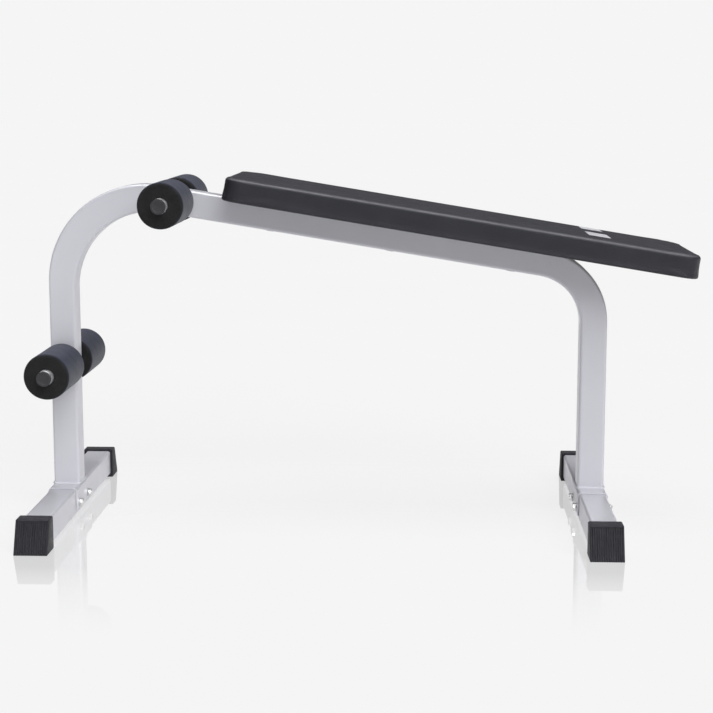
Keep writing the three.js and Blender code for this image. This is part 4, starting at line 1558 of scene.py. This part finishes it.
def staple_grid():
    """Rings of wire along a bridge: across for its width, dipping at both ends."""
    t = np.linspace(-1, 1, 9)
    along = STAPLE_WIDTH / 2 * np.sin(t * np.pi / 2)
    dip = 1.6 * MM * smooth_step(np.abs(t), 0.72, 1.0)
    turn = np.arange(8) * np.pi / 4
    ring = STAPLE_WIRE * np.stack([np.cos(turn), np.sin(turn)], axis=1)
    grid = np.zeros((9, 8, 3))
    grid[..., 0] = along[:, None]
    grid[..., 1] = ring[:, 0]
    grid[..., 2] = ring[:, 1] + dip[:, None]
    ends = [np.tile(grid[k].mean(axis=0), (8, 1))[None] for k in (0, -1)]
    return np.concatenate([ends[0], grid, ends[1]])


hem_middle = round_outline(*(PAD_HALF - STAPLE_INSET), STAPLE_CORNER, 10)
places, _ = even_steps(hem_middle + PAD_CENTRE, STAPLE_PLACES)
ahead = np.roll(places, -1, axis=0) - np.roll(places, 1, axis=0)
ahead /= np.linalg.norm(ahead, axis=1, keepdims=True)
keep = np.abs(places[:, 1]) > STAPLE_CLEAR
staple = staple_grid()
shells = []
for place, way in zip(places[keep], ahead[keep]):
    turned_staple = np.stack([
        place[0] + staple[..., 0] * way[0] - staple[..., 1] * way[1],
        place[1] + staple[..., 0] * way[1] + staple[..., 1] * way[0],
        PAD_BOTTOM - 0.15 * MM + staple[..., 2],
    ], axis=-1)
    points, faces = skin(turned_staple)
    shells.append((from_slope(points), faces))
mesh = make_mesh("hem_staples", *shells)
add_piece("hem_staples", mesh, zinc_plate, "zinc_plate")
print("staples:", len(shells))

# %% [markdown]
# ## Access plugs
# Under the slope, a plug closes each hole through which a pad bolt is
# tightened: a low dome with a thin rim on a short stem.

# %% Access plugs
def access_outline():
    """Radius and height above the tube's lower face, from the dome to the stem."""
    dome = [(r * MM, (1.5 - 0.9 * (r / 13) ** 4) * MM) for r in (0, 3, 6, 8.5, 10.5, 12, 12.6)]
    rim = [(13 * MM, 0.35 * MM), (13 * MM, 0.1 * MM), (12.8 * MM, 0), (10.4 * MM, 0)]
    return dome + rim + [(10.4 * MM, -6.5 * MM), (10 * MM, -7 * MM), (0, -7 * MM)]


for number, s in enumerate(PAD_BOLTS, 1):
    base = CROWN + s * DOWN - ABOVE * TUBE_FACE
    mesh = make_mesh(f"hole_plug_{number}", turned(access_outline(), base, -ABOVE, 72))
    add_piece(mesh.name, mesh, dark_plastic, "dark_plastic", f"access_plug_{number}")
print("access plugs:", len(PAD_BOLTS))

# %% [markdown]
# ## The filling
# The foam inside is out of sight, but it is there: the slab again, drawn in
# by a few millimetres so that it lies inside the vinyl everywhere.

# %% Foam block
FILLING_INSET = 7 * MM
filling = slab_grid(FILLING_INSET, BOARD_TOP + 0.3 * MM, PAD_TOP - FILLING_INSET)
points, faces = skin(filling)
mesh = make_mesh("foam_block", (from_slope(points), faces))
add_piece("foam_block", mesh, pad_filling, "pad_filling", "pad_foam")
print("foam block:", len(mesh.polygons), "faces")

# %% [markdown]
# ## Nodes that stay
# The board and the pad's own fasteners already have the right shape and are
# all but hidden. They keep their meshes and get a finish.

# %% Finish the nodes that stay
KEPT = {"pad_board": plywood}
for number in (1, 2, 3):
    for stem in ("pad_bolt", "pad_washer", "pad_tee_nut"):
        KEPT[f"{stem}_{number}"] = zinc_plate
for node, material in KEPT.items():
    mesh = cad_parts[node].data
    mesh.materials.clear()
    mesh.materials.append(material)
print("kept nodes:", ", ".join(KEPT))

# %% [markdown]
# ## Floor and light
# The floor is a pale sheet, lit mostly from within like a light table, so
# that shadows stay faint. Close to the bench it mirrors the feet, and the
# mirror fades out further away. It shines less on the bench than it seems to,
# or the undersides would be too bright.

# %% Floor
FLOOR_TONE = 0.913
FLOOR_GLOW = 0.766
BOUNCE_GLOW = 0.44
MIRROR_FADE = (0.40, 0.80)
MIRROR_IOR = 1.8
floor_material = bpy.data.materials.new("pale_floor")
floor_material.use_nodes = True
tree = floor_material.node_tree
tree.nodes.clear()
tone = mixed(tree, use(tree, uneven, Scale=1.5), grey(0.147), grey(0.153))
matt = add(tree, "ShaderNodeBsdfDiffuse", {"Color": tone}).outputs[0]
bounced = add(tree, "ShaderNodeLightPath").outputs["Is Diffuse Ray"]
strength = stretch(tree, bounced, 0, 1, FLOOR_GLOW, BOUNCE_GLOW)
glow = add(tree, "ShaderNodeEmission", {"Color": grey(1.0), "Strength": strength}).outputs[0]
body = add(tree, "ShaderNodeAddShader", {0: matt, 1: glow}).outputs[0]
gloss = add(tree, "ShaderNodeBsdfGlossy", {"Color": grey(1.0), "Roughness": 0.0}).outputs[0]
mirror = add(tree, "ShaderNodeFresnel", {"IOR": MIRROR_IOR}).outputs[0]
from_middle = add(tree, "ShaderNodeSeparateXYZ", {0: object_place(tree)}).outputs["Y"]
fade = stretch(tree, maths(tree, "ABSOLUTE", from_middle), *MIRROR_FADE, 1.0, 0.0)
mirror = maths(tree, "MULTIPLY", mirror, maths(tree, "POWER", fade, 2.0))
finish = add(tree, "ShaderNodeMixShader", {0: mirror, 1: body, 2: gloss}).outputs[0]
add(tree, "ShaderNodeOutputMaterial", {"Surface": finish})
FLOOR_REACH = 60.0
corners = np.array([[[-1, -1, 0], [1, -1, 0]], [[-1, 1, 0], [1, 1, 0]]], float) * FLOOR_REACH
floor_mesh = make_mesh("floor", skin(corners, around=False))
floor_mesh.materials.append(floor_material)
floor = bpy.data.objects.new("floor", floor_mesh)
bpy.context.scene.collection.objects.link(floor)
print("floor", 2 * FLOOR_REACH, "metres wide")

# %% [markdown]
# The lights are two wide suns: being far away, they light every part of the
# floor alike. The sky plays three parts. To the camera and in the floor's
# mirror it has the tone of the lit floor, so the horizon is lost. To matt
# surfaces it is an even, dimmer light. To glossy ones it is bright overhead
# and dark low down, which is what draws a bright line along a rounded edge.
#
# A sun is a disc, and the floor's mirror would show that disc from some
# sides. So the suns are hidden from glossy surfaces, and the glossy part of
# the sky gets a bright patch of the same size and strength in their place.

# %% Suns and their patches
SUNS = {  # elevation, azimuth and width in degrees, and strength
    "key": (37, 31, 40, 1.85),
    "top": (82, 0, 30, 1.1),
}


def towards(elevation, azimuth):
    """Unit vector to a lamp; azimuth 0 is the camera's side, 90 the right."""
    e, a = math.radians(elevation), math.radians(azimuth)
    return math.sin(a) * math.cos(e), -math.cos(a) * math.cos(e), math.sin(e)


def wide_sun(name, elevation, azimuth, width, strength):
    """A far lamp that glossy surfaces do not see."""
    data = bpy.data.lights.new(name, "SUN")
    data.angle = math.radians(width)
    data.energy = strength
    lamp = bpy.data.objects.new(name, data)
    lamp.rotation_euler = (math.radians(90 - elevation), 0, math.radians(azimuth))
    lamp.visible_glossy = False
    bpy.context.scene.collection.objects.link(lamp)


def sun_patch(tree, direction, elevation, azimuth, width, strength):
    """Brightness of the sky patch that stands for a sun.

    A sun of strength E and half width w has the brightness E / (pi sin(w)^2).
    """
    half = math.radians(width / 2)
    soft = math.radians(3)
    near = vector_maths(tree, "DOT_PRODUCT", direction, towards(elevation, azimuth))
    brightness = strength / (math.pi * math.sin(half) ** 2)
    return stretch(tree, near, math.cos(half + soft), math.cos(half - soft), 0.0, brightness)


print("suns:", ", ".join(SUNS))

# %% World and lamps
MATT_SKY = 0.28
SKY_RISE = (0.50, 0.92)  # the height of a direction at which the glossy sky turns bright
SKY_LEVELS = (0.02, 1.8)
world = bpy.data.worlds.new("studio")
bpy.context.scene.world = world
world.use_nodes = True
tree = world.node_tree
tree.nodes.clear()
seen = add(tree, "ShaderNodeLightPath").outputs
plain = maths(tree, "MAXIMUM", seen["Is Camera Ray"], seen["Is Singular Ray"])
direction = add(tree, "ShaderNodeTexCoord").outputs["Generated"]
up = add(tree, "ShaderNodeSeparateXYZ", {0: direction}).outputs["Z"]
glossy_sky = stretch(tree, up, *SKY_RISE, *SKY_LEVELS)
for sun in SUNS.values():
    glossy_sky = maths(tree, "ADD", glossy_sky, sun_patch(tree, direction, *sun))
strength = stretch(tree, seen["Is Glossy Ray"], 0.0, 1.0, MATT_SKY, glossy_sky)
strength = stretch(tree, plain, 0.0, 1.0, strength, FLOOR_TONE)
sky = add(tree, "ShaderNodeBackground", {"Color": grey(1.0), "Strength": strength})
add(tree, "ShaderNodeOutputWorld", {"Surface": sky.outputs[0]})
for name, sun in SUNS.items():
    wide_sun(name, *sun)
bpy.context.scene.view_settings.view_transform = "Standard"
print("studio lit")
